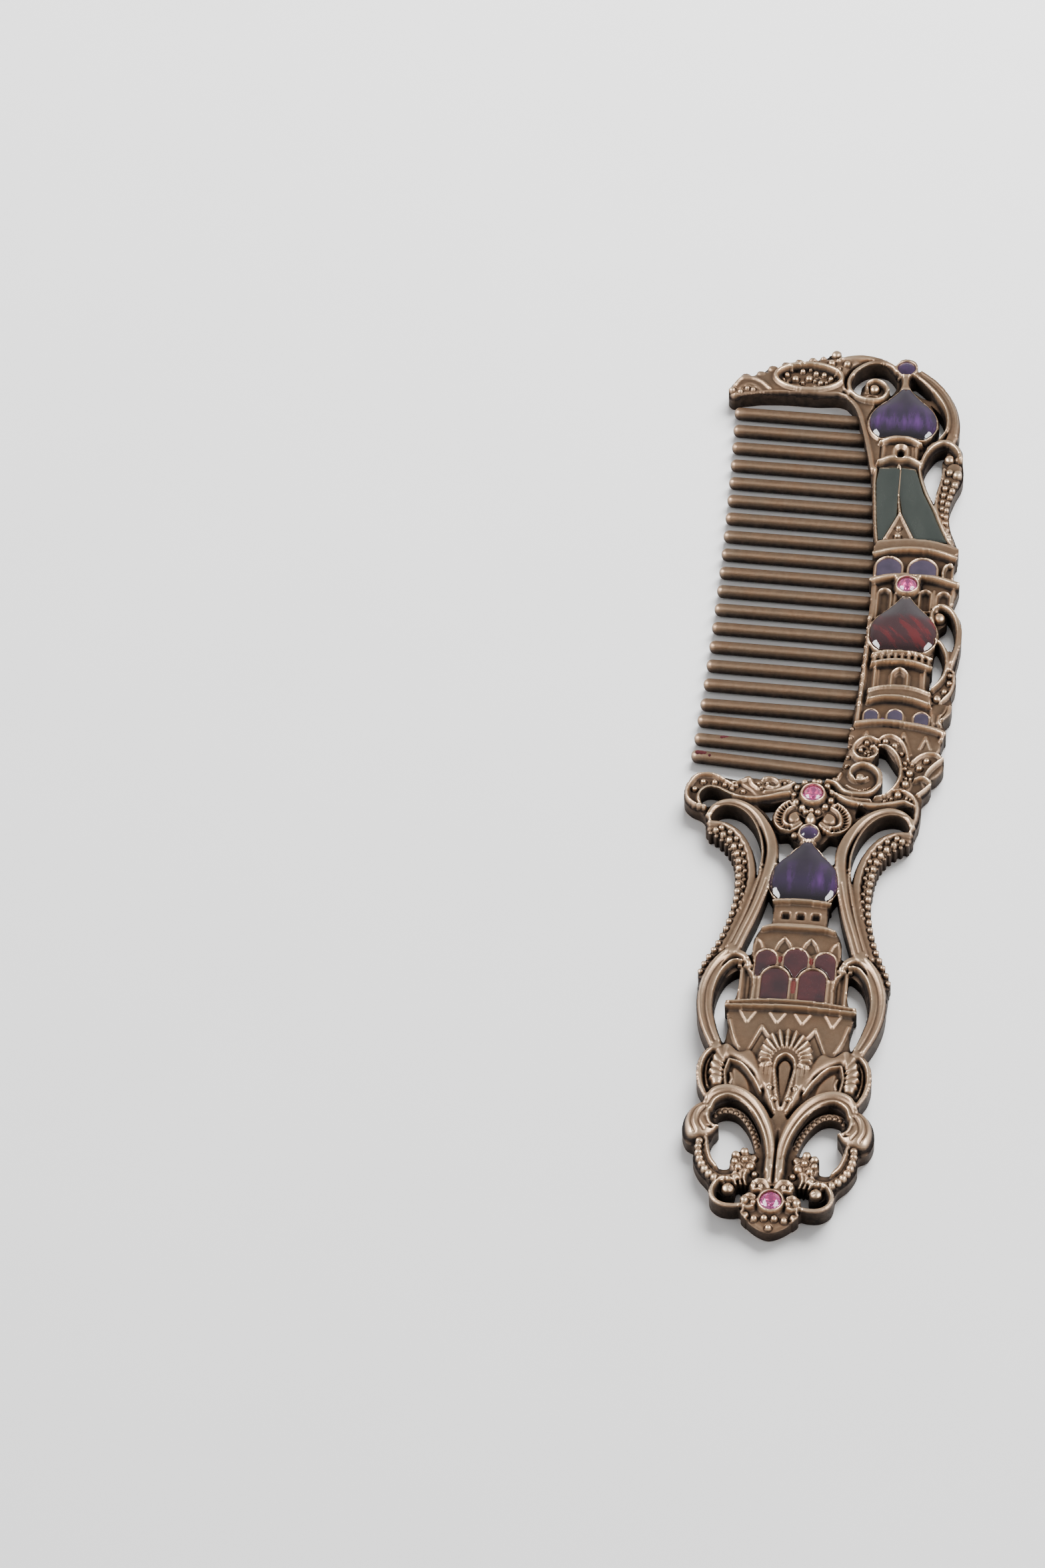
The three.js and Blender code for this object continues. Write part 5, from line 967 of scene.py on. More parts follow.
def pommel(r):
    for path in mirrored([(-0.65, -73.2), (-0.7, -70), (-0.95, -67), (-1.7, -64), (-2.9, -61.4),
                          (-4.5, -59.4), (-6.3, -58.2), (-8.2, -57.8), (-9.9, -58.5), (-10.8, -60.2),
                          (-11.1, -62)]):
        r.curl(path, [0.9, 1.1, 1.5, 1.9, 2.2, 2.3, 2.2, 1.8, 1.4], 3.75, 0.6)
    for path in mirrored([(-0.35, -71), (-0.4, -68), (-1.0, -65), (-2.2, -62), (-4, -59.2), (-6, -57.7),
                          (-8.2, -57.2), (-10.2, -57.9), (-11, -59.4)]):
        r.curl(path, [0.4, 0.5, 0.6, 0.65, 0.6], 3.95)
    for path in mirrored([(-1.1, -71.6), (-1.15, -68.6), (-1.7, -65.8), (-2.9, -62.9), (-4.6, -60.4),
                          (-6.4, -59), (-8.2, -58.7), (-9.7, -59.6), (-10.3, -61.2)]):
        r.curl(path, 0.45, 3.8)
    for path in mirrored([(-0.8, -69.6), (-1.2, -66.4), (-2.2, -63.4), (-3.8, -60.6), (-5.8, -58.7),
                          (-8, -58.1), (-9.9, -58.9), (-10.8, -60.6)]):
        r.score(path, 0.35, 0.35)

    r.sheet([(0, -60.6), (1.6, -63), (1.4, -67), (0.9, -74), (-0.9, -74), (-1.4, -67), (-1.6, -63)], 3.15)
    r.groove([(0, -64), (0, -73.5)], 0.3, 0.3)
    for side in (-1, 1):
        # Beads along the inside of the arch, set low
        r.curl(sided(side, [(10, -62.6), (9.4, -61.2), (7.8, -60.6), (6.2, -61), (4.6, -62.6), (3.4, -64.8),
                            (2.6, -67.6)]), 1.0, 2.0, 0.3)
        r.bead_row(smooth(sided(side, [(9.8, -62.2), (8.9, -61.1), (7.4, -60.8), (6, -61.3), (4.6, -62.8),
                                       (3.5, -64.8), (2.8, -67.2)])), 0.82, 0.3, 2.45)
        # The ribbed knob and its hook
        r.pillow(sided(side, [(11, -60), (12.4, -60.4), (13.6, -62), (13.9, -64.2), (13.2, -66.2),
                              (11.6, -66.6), (10, -66), (9, -64.6), (9.8, -64.2), (10.6, -63)]), 2.6, 4.15,
                 1.6)
        for points in ([(11.4, -60.5), (12.6, -62), (12.9, -64), (12.2, -65.8)],
                       [(11, -61.2), (11.7, -62.4), (11.8, -64), (11, -65.4)]):
            r.score(sided(side, points), 0.42, 0.45)
        r.curl(sided(side, [(10.6, -61.4), (10.5, -63), (9.9, -64.1), (9.0, -64.4)]), [0.5, 0.5, 0.35], 3.8)
        r.curl(sided(side, [(11.7, -65.9), (10.6, -65.7), (9.7, -64.9), (9.0, -64.3)]), [0.7, 0.6, 0.3],
               3.7)
        r.pit(ellipse(side * 10.1, -64.75, 0.45, 0.2), 2.0, 0.2)
        # The gadrooned lower ring, the floral cluster and the bottom scroll
        ring = smooth(sided(side, [(11.1, -66.6), (11.2, -68.4), (10.7, -70.4), (9.6, -72.2), (8.2, -73.2),
                                   (6.6, -73.2), (5.2, -72.6)]))
        r.rib(ring, 1.7, 3.0, 0.4)
        r.bead_row(ring, 0.95, 0.56, 3.6, 0.25 * side)
        r.curl(sided(side, [(10.4, -66.4), (10.1, -68.4), (9.5, -70.2), (8.6, -71.4)]), 0.5, 3.5)
        r.cushion(ellipse(side * 4.7, -70.2, 1.9, 2.0), 2.6, 3.2, 1.2)
        for k, (x, y, size) in enumerate([(5.8, -69.0, 0.62), (4.6, -68.4, 0.62), (5.9, -70.2, 0.5),
                                          (4.4, -69.9, 0.45), (3.2, -69.2, 0.55), (3.5, -70.9, 0.6),
                                          (5.3, -71.3, 0.5), (2.8, -72, 0.45)]):
            r.bead(side * x, y, size, 3.7 - 0.1 * (k % 3))
        for x in (4.1, 4.8, 5.6):
            r.curl(sided(side, [(x, -71.6), (x + 0.15, -73), (x - 0.2, -74.2)]), [0.5, 0.42, 0.3], 3.4)
        r.curl(sided(side, [(5.6, -73.6), (7, -73.4), (8.2, -74), (8.8, -75.4), (8.5, -77), (7.3, -78),
                            (5.6, -78.2), (4.2, -77.9)]), [0.5, 0.6, 0.7, 0.75, 0.75, 0.7, 0.6], 3.7)
        r.bead(side * 6.45, -75.0, 0.95, 3.9)
        r.bead(side * 5.85, -74.9, 0.4, 3.6)
        r.bead(side * 7.2, -74.0, 0.35, 3.6)

    # The flower round the last stone
    r.sheet(whole([(0, -74.6), (3, -74.4), (4.1, -76.6), (3.6, -79.4), (1.6, -80.8), (0, -81.6)]), 2.5)
    for side in (-1, 1):
        r.cushion(ellipse(side * 1.65, -74.35, 1.35, 1.15), 2.7, 3.3, 0.8)
        r.curl(sided(side, [(0.4, -74.6), (1.0, -73.5), (2.2, -73.3), (3.0, -74.2), (2.6, -75.2),
                            (1.7, -74.9)]), [0.4, 0.5, 0.5, 0.4], 3.65)
        r.bead(side * 1.7, -74.4, 0.4, 3.6)
        r.bead(side * 2.8, -74.5, 0.42, 3.7)
        r.cushion(ellipse(side * 3.1, -77.1, 1.15, 1.2), 2.7, 3.3, 0.7)
        r.curl(sided(side, [(2.3, -76.2), (3.2, -75.9), (4, -76.6), (4.1, -77.7), (3.4, -78.3),
                            (2.5, -78)]), [0.35, 0.45, 0.5, 0.4], 3.6)
        r.bead(side * 3.85, -77.2, 0.58, 4.1)
        r.bead(side * 2.55, -77.3, 0.4, 3.6)
        r.beads(sided(side, [(3.5, -79.3), (2.2, -79.8), (0.75, -79.6)]), 0.5, 3.9)
        r.curl(sided(side, [(3.9, -78.3), (4.0, -79.2), (3.4, -79.9)]), 0.4, 3.3)
    bezel(r, 0, -76.8, 3.55, 1.95)
    r.bead(0, -81.2, 0.45, 3.4)


def make_relief():
    r = Relief((-22, -83), (22, 99), CELL)
    r.sheet(PLATE, FIELD)
    for outline in OPENINGS:
        r.hole(smooth(outline, True))
    for outline in GRIP_OPENINGS + [NECK_OPENING]:
        for opening in (outline, flip(outline)):
            r.hole(smooth(opening, True))
    for build in (end_guard, roof, dome_section, grip, tower, palmette, pommel, crossguard):
        build(r)
    for cell in CELLS:
        r.well(cell[1], CELL_FLOOR, CELL_WALL)
    for _, x, y, _ in STONES:
        r.well(ellipse(x, y, STONE_RADIUS + STONE_GAP), SEAT_FLOOR, SEAT_WALL)
    return r


# ---------------------------------------------------------------------------------------------------------
# From relief to meshes

# For each of a cell's 16 cases, the polygons over its solid part. Corners 0 to 3 run anticlockwise from the
# low corner, and 4 to 7 are the crossings on the edges that start at corners 0 to 3.
CASES = {
    1: [(0, 4, 7)], 2: [(1, 5, 4)], 3: [(0, 1, 5, 7)], 4: [(2, 6, 5)], 5: [(0, 4, 7), (2, 6, 5)],
    6: [(1, 2, 6, 4)], 7: [(0, 1, 2, 6, 7)], 8: [(3, 7, 6)], 9: [(0, 4, 6, 3)], 10: [(1, 5, 4), (3, 7, 6)],
    11: [(0, 1, 5, 6, 3)], 12: [(2, 3, 7, 5)], 13: [(0, 4, 5, 2, 3)], 14: [(1, 2, 3, 7, 4)],
    15: [(0, 1, 2, 3)],
}

CORNER_GAP = 0.08     # how near a crossing comes to a grid point, as a share of the edge between two


class Shell:
    """The face and walls of a relief: points in mm, their wear and patina with painted shade on the walls,
    and faces with the grid row of each.
    """

    def __init__(self, relief, base):
        s, top = relief.solid, relief.top
        rows, cols = s.shape
        solid = s > 0
        jj, ii = np.nonzero(solid)
        self.ids = np.full((rows, cols), -1)
        self.ids[jj, ii] = np.arange(len(jj))
        points = [np.column_stack([relief.x[ii], relief.y[jj], top[jj, ii]])]
        wear_and_painted_light = [relief.ridge[jj, ii]]
        out = [np.zeros((len(jj), 2))]
        slope_y, slope_x = np.gradient(s, relief.cell)
        count = len(jj)

        def cross(a, b):
            """Points where the outline passes between grid points a and b, each given as rows and columns."""
            t = np.clip(s[a] / (s[a] - s[b]), CORNER_GAP, 1 - CORNER_GAP)
            between = [grid[a] + t * (grid[b] - grid[a]) for grid in (top, relief.ridge, slope_x, slope_y)]
            x = relief.x[a[1]] + t * (relief.x[b[1]] - relief.x[a[1]])
            y = relief.y[a[0]] + t * (relief.y[b[0]] - relief.y[a[0]])
            points.append(np.column_stack([x, y, between[0]]))
            wear_and_painted_light.append(between[1])
            size = np.hypot(between[2], between[3]) + 1e-9
            out.append(np.column_stack([-between[2] / size, -between[3] / size]))

        self.across = np.full((rows, cols), -1)
        j, i = np.nonzero(solid[:, :-1] != solid[:, 1:])
        self.across[j, i] = count + np.arange(len(j))
        cross((j, i), (j, i + 1))
        count += len(j)
        upward = np.full((rows, cols), -1)
        j, i = np.nonzero(solid[:-1] != solid[1:])
        upward[j, i] = count + np.arange(len(j))
        cross((j, i), (j + 1, i))
        count += len(j)

        kind = solid[:-1, :-1] + 2 * solid[:-1, 1:] + 4 * solid[1:, 1:] + 8 * solid[1:, :-1]
        self.faces = []
        edges, edge_rows = [], []
        for case, polygons in CASES.items():
            j, i = np.nonzero(kind == case)
            corner = [self.ids[j, i], self.ids[j, i + 1], self.ids[j + 1, i + 1], self.ids[j + 1, i],
                      self.across[j, i], upward[j, i + 1], self.across[j + 1, i], upward[j, i]]
            for polygon in polygons:
                self.faces.append((np.column_stack([corner[k] for k in polygon]), j))
                for a, b in zip(polygon, polygon[1:] + polygon[:1]):
                    if a >= 4 and b >= 4:
                        edges.append(np.column_stack([corner[a], corner[b]]))
                        edge_rows.append(j)
        edges, self.edge_rows = np.vstack(edges), np.concatenate(edge_rows)

        # Under every crossing: the shoulder and the foot of the wall, then the back's outline
        self.points, self.wear_and_painted_light, out = np.vstack(points), np.concatenate(wear_and_painted_light), np.vstack(out)
        rim = np.unique(edges)
        shoulder, foot, back = (self.points[rim].copy() for _ in range(3))
        shoulder[:, 2] = base + FOOT_HEIGHT + SHOULDER_SHARE * (self.points[rim][:, 2] - base - FOOT_HEIGHT)
        foot[:, 2] = base + FOOT_HEIGHT
        back[:, :2] -= BACK_INSET * out[rim]
        back[:, 2] = base
        self.under = []
        # The shoulder and foot rings take a dark colour level, patina and painted shade on the walls; the
        # back takes a middle one
        for ring, wear_and_painted_light_level in ((shoulder, SHOULDER_PATINA_AND_SHADE), (foot, FOOT_PATINA_AND_SHADE), (back, BACK_WEAR)):
            number = np.full(count, -1)
            number[rim] = len(self.points) + np.arange(len(rim))
            self.under.append(number)
            self.points = np.vstack([self.points, ring])
            self.wear_and_painted_light = np.concatenate([self.wear_and_painted_light, np.full(len(rim), wear_and_painted_light_level)])
        a, b = edges.T
        high = np.arange(count)
        for low in self.under:
            self.faces.append((np.column_stack([high[b], high[a], low[a], low[b]]), self.edge_rows))
            high = low
        self.rim = np.column_stack([low[a], low[b]])
        self.normals = self.average_normals()

    def average_normals(self):
        """Each point's normal, averaged by area over the faces that meet there."""
        total = np.zeros_like(self.points)
        for corners, _ in self.faces:
            p = self.points[corners]
            spokes = p[:, 1:] - p[:, :1]
            normal = np.cross(spokes[:, :-1], spokes[:, 1:]).sum(axis=1)
            for n in range(corners.shape[1]):
                for axis in range(3):
                    total[:, axis] += np.bincount(corners[:, n], normal[:, axis], len(total))
        return total / np.maximum(np.linalg.norm(total, axis=1, keepdims=True), 1e-12)

    def cap(self, row, facing):
        """Polygons that close a cut along a grid row, and the edges that they give the back."""
        polygons, edges = [], []
        solid = self.ids[row] >= 0
        starts = np.nonzero(solid & ~np.roll(solid, 1))[0]
        ends = np.nonzero(solid & ~np.roll(solid, -1))[0]
        for i, k in zip(starts, ends):
            left, right = self.across[row, i - 1], self.across[row, k]
            loop = [*(ring[right] for ring in self.under[::-1]), right, *self.ids[row, i:k + 1][::-1], left,
                    *(ring[left] for ring in self.under)]
            polygons.append(loop if facing < 0 else loop[::-1])
            edges.append((self.under[-1][left], self.under[-1][right]))
        return polygons, edges

    def piece(self, name, low=0, high=None):
        """A closed mesh object of the rows from low to high, with a flat back."""
        last = self.ids.shape[0] - 1
        high = last if high is None else high
        shown = [c[(rows >= low) & (rows < high)] for c, rows in self.faces]
        rim = [self.rim[(self.edge_rows >= low) & (self.edge_rows < high)]]
        flat = []
        for row, facing in ((low, -1), (high, 1)):
            if 0 < row < last:
                polygons, edges = self.cap(row, facing)
                flat += [np.array([p]) for p in polygons]
                rim.append(np.array(edges).reshape(-1, 2))
        flat.append(flat_fill(self.points, np.vstack(rim)))
        return add_mesh(name, self.points, shown, flat, self.normals, self.wear_and_painted_light)


def flat_fill(points, edges):
    """Triangles, facing down, that close the flat outlines made by these edges."""
    used, numbers = np.unique(edges, return_inverse=True)
    numbers = numbers.reshape(edges.shape)
    places = [Vector((x, y)) for x, y in points[used][:, :2]]
    links = [tuple(e) for e in numbers.tolist()]
    _, _, triangles, origins, _, _ = delaunay_2d_cdt(places, links, [], 0, 1e-7)
    source = np.array([o[0] if len(o) else -1 for o in origins])
    triangles = source[np.array(triangles)]
    triangles = used[triangles[np.all(triangles >= 0, axis=1)]]
    middle = points[triangles].mean(axis=1)
    a, b = points[edges[:, 0]], points[edges[:, 1]]
    rise = np.where(b[:, 1] == a[:, 1], 1, b[:, 1] - a[:, 1])
    crossed = np.zeros(len(middle), int)
    for start in range(0, len(middle), 2000):
        m = middle[start:start + 2000]
        spans = (a[None, :, 1] <= m[:, None, 1]) != (b[None, :, 1] <= m[:, None, 1])
        x = a[None, :, 0] + (m[:, None, 1] - a[None, :, 1]) / rise * (b[:, 0] - a[:, 0])
        crossed[start:start + 2000] = (spans & (x > m[:, None, 0])).sum(axis=1)
    triangles = triangles[crossed % 2 == 1]
    p, q, s = (points[triangles[:, n]] for n in range(3))
    turn = (q[:, 0] - p[:, 0]) * (s[:, 1] - p[:, 1]) - (q[:, 1] - p[:, 1]) * (s[:, 0] - p[:, 0])
    triangles[turn > 0] = triangles[turn > 0][:, ::-1]
    return triangles


def add_mesh(name, points, smooth_groups, flat_groups=(), normals=None, wear_and_painted_light=None):
    """A mesh object from points in mm and arrays of faces. Smooth faces take the points' normals where given,
    and flat ones their own."""
    groups = [g for g in smooth_groups if len(g)] + [g for g in flat_groups if len(g)]
    first_flat = sum(g.size for g in smooth_groups)
    used = np.unique(np.concatenate([g.ravel() for g in groups]))
    renumber = np.full(len(points), -1)
    renumber[used] = np.arange(len(used))
    loops = np.concatenate([renumber[g].ravel() for g in groups])
    sizes = np.concatenate([np.full(len(g), g.shape[1]) for g in groups])
    mesh = bpy.data.meshes.new(name)
    mesh.vertices.add(len(used))
    mesh.vertices.foreach_set("co", (points[used] * MM).ravel())
    mesh.loops.add(len(loops))
    mesh.loops.foreach_set("vertex_index", loops)
    mesh.polygons.add(len(sizes))
    mesh.polygons.foreach_set("loop_start", np.concatenate([[0], np.cumsum(sizes)[:-1]]))
    if wear_and_painted_light is not None:
        mesh.attributes.new("wear_and_painted_light", "FLOAT", "POINT").data.foreach_set("value", wear_and_painted_light[used])
    mesh.polygons.foreach_set("use_smooth", np.ones(len(sizes), bool))
    mesh.update(calc_edges=True)
    if normals is not None:
        per_corner = normals[used][loops]
        at = first_flat
        for g in flat_groups:
            if len(g):
                p = points[g]
                own = np.cross(p[:, 1] - p[:, 0], p[:, 2] - p[:, 0])
                own /= np.maximum(np.linalg.norm(own, axis=1, keepdims=True), 1e-12)
                per_corner[at:at + g.size] = np.repeat(own, g.shape[1], axis=0)
                at += g.size
        mesh.normals_split_custom_set(per_corner.tolist())
    piece = bpy.data.objects.new(name, mesh)
    bpy.context.scene.collection.objects.link(piece)
    return piece


def place(piece, material, nodes):
    piece.data.materials.append(material)
    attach(piece, "root")
    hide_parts(*nodes)
    return piece


# The casting is divided along the rows of the grid nearest to where the part's own sections meet
SECTIONS = [
    ("casting_end_guard", 72.0, ["end_guard"]),
    ("casting_roof", 51.7, ["roof_section"]),
    ("casting_domes", 19.8, ["dome_section"]),
    ("casting_crossguard", -9.5, ["crossguard"]),
    ("casting_grip", -50.2, ["left_arm", "right_arm", "grip_tower"]),
    ("casting_palmette", -56.2, ["palmette"]),
    ("casting_pommel", None, ["pommel"]),
]


def make_casting(material):
    relief = make_relief()
    relief.finish()
    shell = Shell(relief, 0.0)
    upper = len(relief.y) - 1
    for name, low, nodes in SECTIONS:
        lower = int(np.searchsorted(relief.y, low)) if low is not None else 0
        place(shell.piece(name, lower, upper), material, nodes)
        upper = lower


# ---------------------------------------------------------------------------------------------------------
# Enamel: a crowned face on a fine grid, slightly fuller than its cell so that no gap shows

BULGE = (0.32, 0.5)           # shares of a dome's height, from its full lower part to its slim upper one
BULGE_FULLNESS = (0.6, 1.15)  # powers on the swell there: the lower, the fuller
BULGE_DROP = 0.35             # how much lower the edge of the lower part is, mm
ENAMEL_BACK = 1.9             # height of the enamel's flat back, mm
DOME_OVERLAP, OVERLAP = 0.12, 0.08      # how much wider than its cell the enamel is on each side, mm


def make_enamel(name, outline, edge, crown, reach, material, slot):
    outline = np.asarray(outline, float)
    is_dome, is_round = reach > 2, reach > 1
    r = Relief(outline.min(axis=0) - 0.4, outline.max(axis=0) + 0.4, 0.12 if is_round else 0.1)
    area, s = r.inside(outline, 3.2)
    s = s + (DOME_OVERLAP if is_dome else OVERLAP)
    r.solid[area] = s
    u = np.clip(s / reach, 0, 1)
    fullness = 1.0
    if is_dome:
        low, high = outline[:, 1].min(), outline[:, 1].max()
        up = (r.y[area[0]] - low) / (high - low)
        fullness = np.interp(up, BULGE, BULGE_FULLNESS)[:, None]
        edge = np.interp(up, BULGE, (edge - BULGE_DROP, edge))[:, None]
    r.top[area] = edge + (crown - edge) * (1 - (1 - u) ** 2.1) ** fullness
    r.top = blur(r.top, np.ones_like(r.top), 2 if is_round else 1)
    r.ridge = np.zeros_like(r.top)
    return place(Shell(r, ENAMEL_BACK).piece(name), material, [name])


# ---------------------------------------------------------------------------------------------------------
# Stones: round brilliants over a foil, in their bezels

TABLE, TABLE_UP = 0.56, 0.62      # each ring of corners: a share of the radius, and mm from the girdle
STAR, STAR_UP = 0.8, 0.38
GIRDLE_HALF = 0.06
WAIST, WAIST_DOWN = 0.55, 0.72
TIP_DOWN = 1.3
FOIL_DROP = 0.06                  # the foil lies this much lower than the glass, mm
FOIL_RIM_DOWN = 0.1
FOIL_THICKNESS = 0.04


def flat_object(name, points, faces):
    """A mesh object with flat faces, from points in mm."""
    mesh = bpy.data.meshes.new(name)
    mesh.from_pydata([tuple(np.array(p) * MM) for p in points], [], faces)
    mesh.validate()
    piece = bpy.data.objects.new(name, mesh)
    bpy.context.scene.collection.objects.link(piece)
    return piece


def make_stone(name, x, y, girdle, glass, foil):
    def ring(radius, up, count, turn=0.0):
        angles = [2 * math.pi * (k + turn) / count for k in range(count)]
        return [(x + radius * math.cos(a), y + radius * math.sin(a), girdle + up) for a in angles]

    r = STONE_RADIUS - STONE_GAP
    rings = [ring(r * TABLE, TABLE_UP, 8), ring(r * STAR, STAR_UP, 8, 0.5), ring(r, GIRDLE_HALF, 16),
             ring(r, -GIRDLE_HALF, 16), ring(r * WAIST, -WAIST_DOWN, 8, 0.5), [(x, y, girdle - TIP_DOWN)]]
    points = [point for part in rings for point in part]
    table, star, upper, lower, waist, tip = 0, 8, 16, 32, 48, 56
    faces = [list(range(8))]
    for k in range(8):
        n = (k + 1) % 8
        corners = [2 * k, (2 * k + 1) % 16, (2 * k + 2) % 16]
        a, b, c = (upper + i for i in corners)
        d, e, f = (lower + i for i in corners)
        faces += [[table + k, star + k, table + n], [table + n, star + k, c, star + n], [star + k, a, b],
                  [star + k, b, c], [waist + k, e, d], [waist + k, f, e], [waist + k, tip, waist + n, f]]
    faces += [[upper + k, lower + k, lower + (k + 1) % 16, upper + (k + 1) % 16] for k in range(16)]
    place(flat_object(name, points, faces), glass, [name])

    rim, bend, bottom = 0, 16, 24
    cup = (ring(r - STONE_GAP, -FOIL_RIM_DOWN, 16) + ring(r * TABLE, -WAIST_DOWN - FOIL_DROP, 8, 0.5)
           + [(x, y, girdle - TIP_DOWN - FOIL_DROP)])
    faces = []
    for k in range(8):
        n = (k + 1) % 8
        d, e, f = rim + 2 * k, rim + (2 * k + 1) % 16, rim + (2 * k + 2) % 16
        faces += [[bend + k, d, e], [bend + k, e, f], [bend + k, f, bend + n], [bend + k, bend + n, bottom]]
    backing = flat_object(name + "_foil", cup, faces)
    backing.data.materials.append(foil)
    thick = backing.modifiers.new("thickness", "SOLIDIFY")
    thick.thickness = FOIL_THICKNESS * MM
    thick.offset = 1
    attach(backing, "root")


# ---------------------------------------------------------------------------------------------------------
# Teeth: rounded rods that rise slightly towards their tips and run in under the spine's rim

def spine_edge(y):
    edge = sorted((p for p in HEAD_LEFT if p[0] >= 0), key=lambda p: p[1])
    return float(np.interp(y, [p[1] for p in edge], [p[0] for p in edge]))


RUN_IN = 0.9            # how far a tooth runs in under the spine, mm
TIP_BOW = 0.8           # how much further out the first and last tips are than the middle ones, mm
TIP_TAPER = 0.07        # a tooth is this share narrower at its tip
TIP_SINK = 0.04         # and this share thinner
FACE_TAPER = 0.1        # its face is this share narrower than its middle
SQUARE_ACROSS, SQUARE_UP = 0.72, 0.78     # powers that make its round section squarer


def make_tooth(index, material):
    y = FIRST_TOOTH + index * TOOTH_PITCH
    middle_tooth = (TOOTH_COUNT - 1) / 2
    tip = TIP_LINE - TIP_BOW * (index / middle_tooth - 1) ** 2
    root = spine_edge(y) + RUN_IN
    tilt = math.radians(TOOTH_TILTS[index] if index < len(TOOTH_TILTS) else USUAL_TILT)
    length = root - tip
    half, middle = TOOTH_WIDTH / 2, TOOTH_HEIGHT / 2
    round_part = half * (1 - np.cos(np.linspace(0.12, math.pi / 2, 9)))
    stations = np.concatenate([round_part, np.linspace(half + 1.2, length, 14)])
    angles = np.linspace(0, 2 * math.pi, 40, endpoint=False)
    c, s = np.cos(angles), np.sin(angles)
    points = []
    for at in stations:
        end = math.sqrt(max(0.0, 1 - (1 - min(at / half, 1)) ** 2))
        across = half * (1 - TIP_TAPER + TIP_TAPER * at / length) * end
        if at < half:
            up = middle * (1 - TIP_SINK) * end ** 0.9
        else:
            up = middle * (1 - TIP_SINK + TIP_SINK * at / length)
        px = np.sign(c) * np.abs(c) ** SQUARE_ACROSS * across
        pz = np.sign(s) * np.abs(s) ** SQUARE_UP * up
        px = px * (1 - FACE_TAPER * np.clip(pz / up, 0, 1))
        x = np.full(len(angles), tip + at)
        points.append(np.column_stack([x, y + (root - x) * math.tan(tilt) + px, middle + pz]))
    rings, count = len(points), len(angles)
    points = np.vstack(points)
    k = np.arange(count)
    n = (k + 1) % count
    quads = np.vstack([np.column_stack([at + k, at + count + k, at + count + n, at + n])
                       for at in range(0, (rings - 1) * count, count)])
    nose = np.array([k])
    tail = np.array([(rings - 1) * count + k[::-1]])

    # Painted light and shade: lighter along the top as if lit from above, a painted highlight round the tip,
    # painted shade on the sides, and darker where the tooth meets the spine
    height = points[:, 2] / TOOTH_HEIGHT
    wear_and_painted_light = 0.02 + 0.44 * np.clip((height - 0.42) / 0.4, 0, 1) ** 1.3
    wear_and_painted_light += 0.3 * np.clip(1 - (points[:, 0] - tip) / 1.5, 0, 1) * height
    wear_and_painted_light -= 0.3 * np.clip(1 - (root - RUN_IN - points[:, 0]) / 1.2, 0, 1)
    name = f"tooth_{index + 1:02d}"
    piece = add_mesh(name + "_rod", points, [quads, nose, tail], wear_and_painted_light=np.clip(wear_and_painted_light, 0, 1))
    return place(piece, material, [name])


# ---------------------------------------------------------------------------------------------------------
# Materials

COLOUR_A, COLOUR_B, COLOUR_OUT = 6, 7, 2      # a mix node's sockets for colours


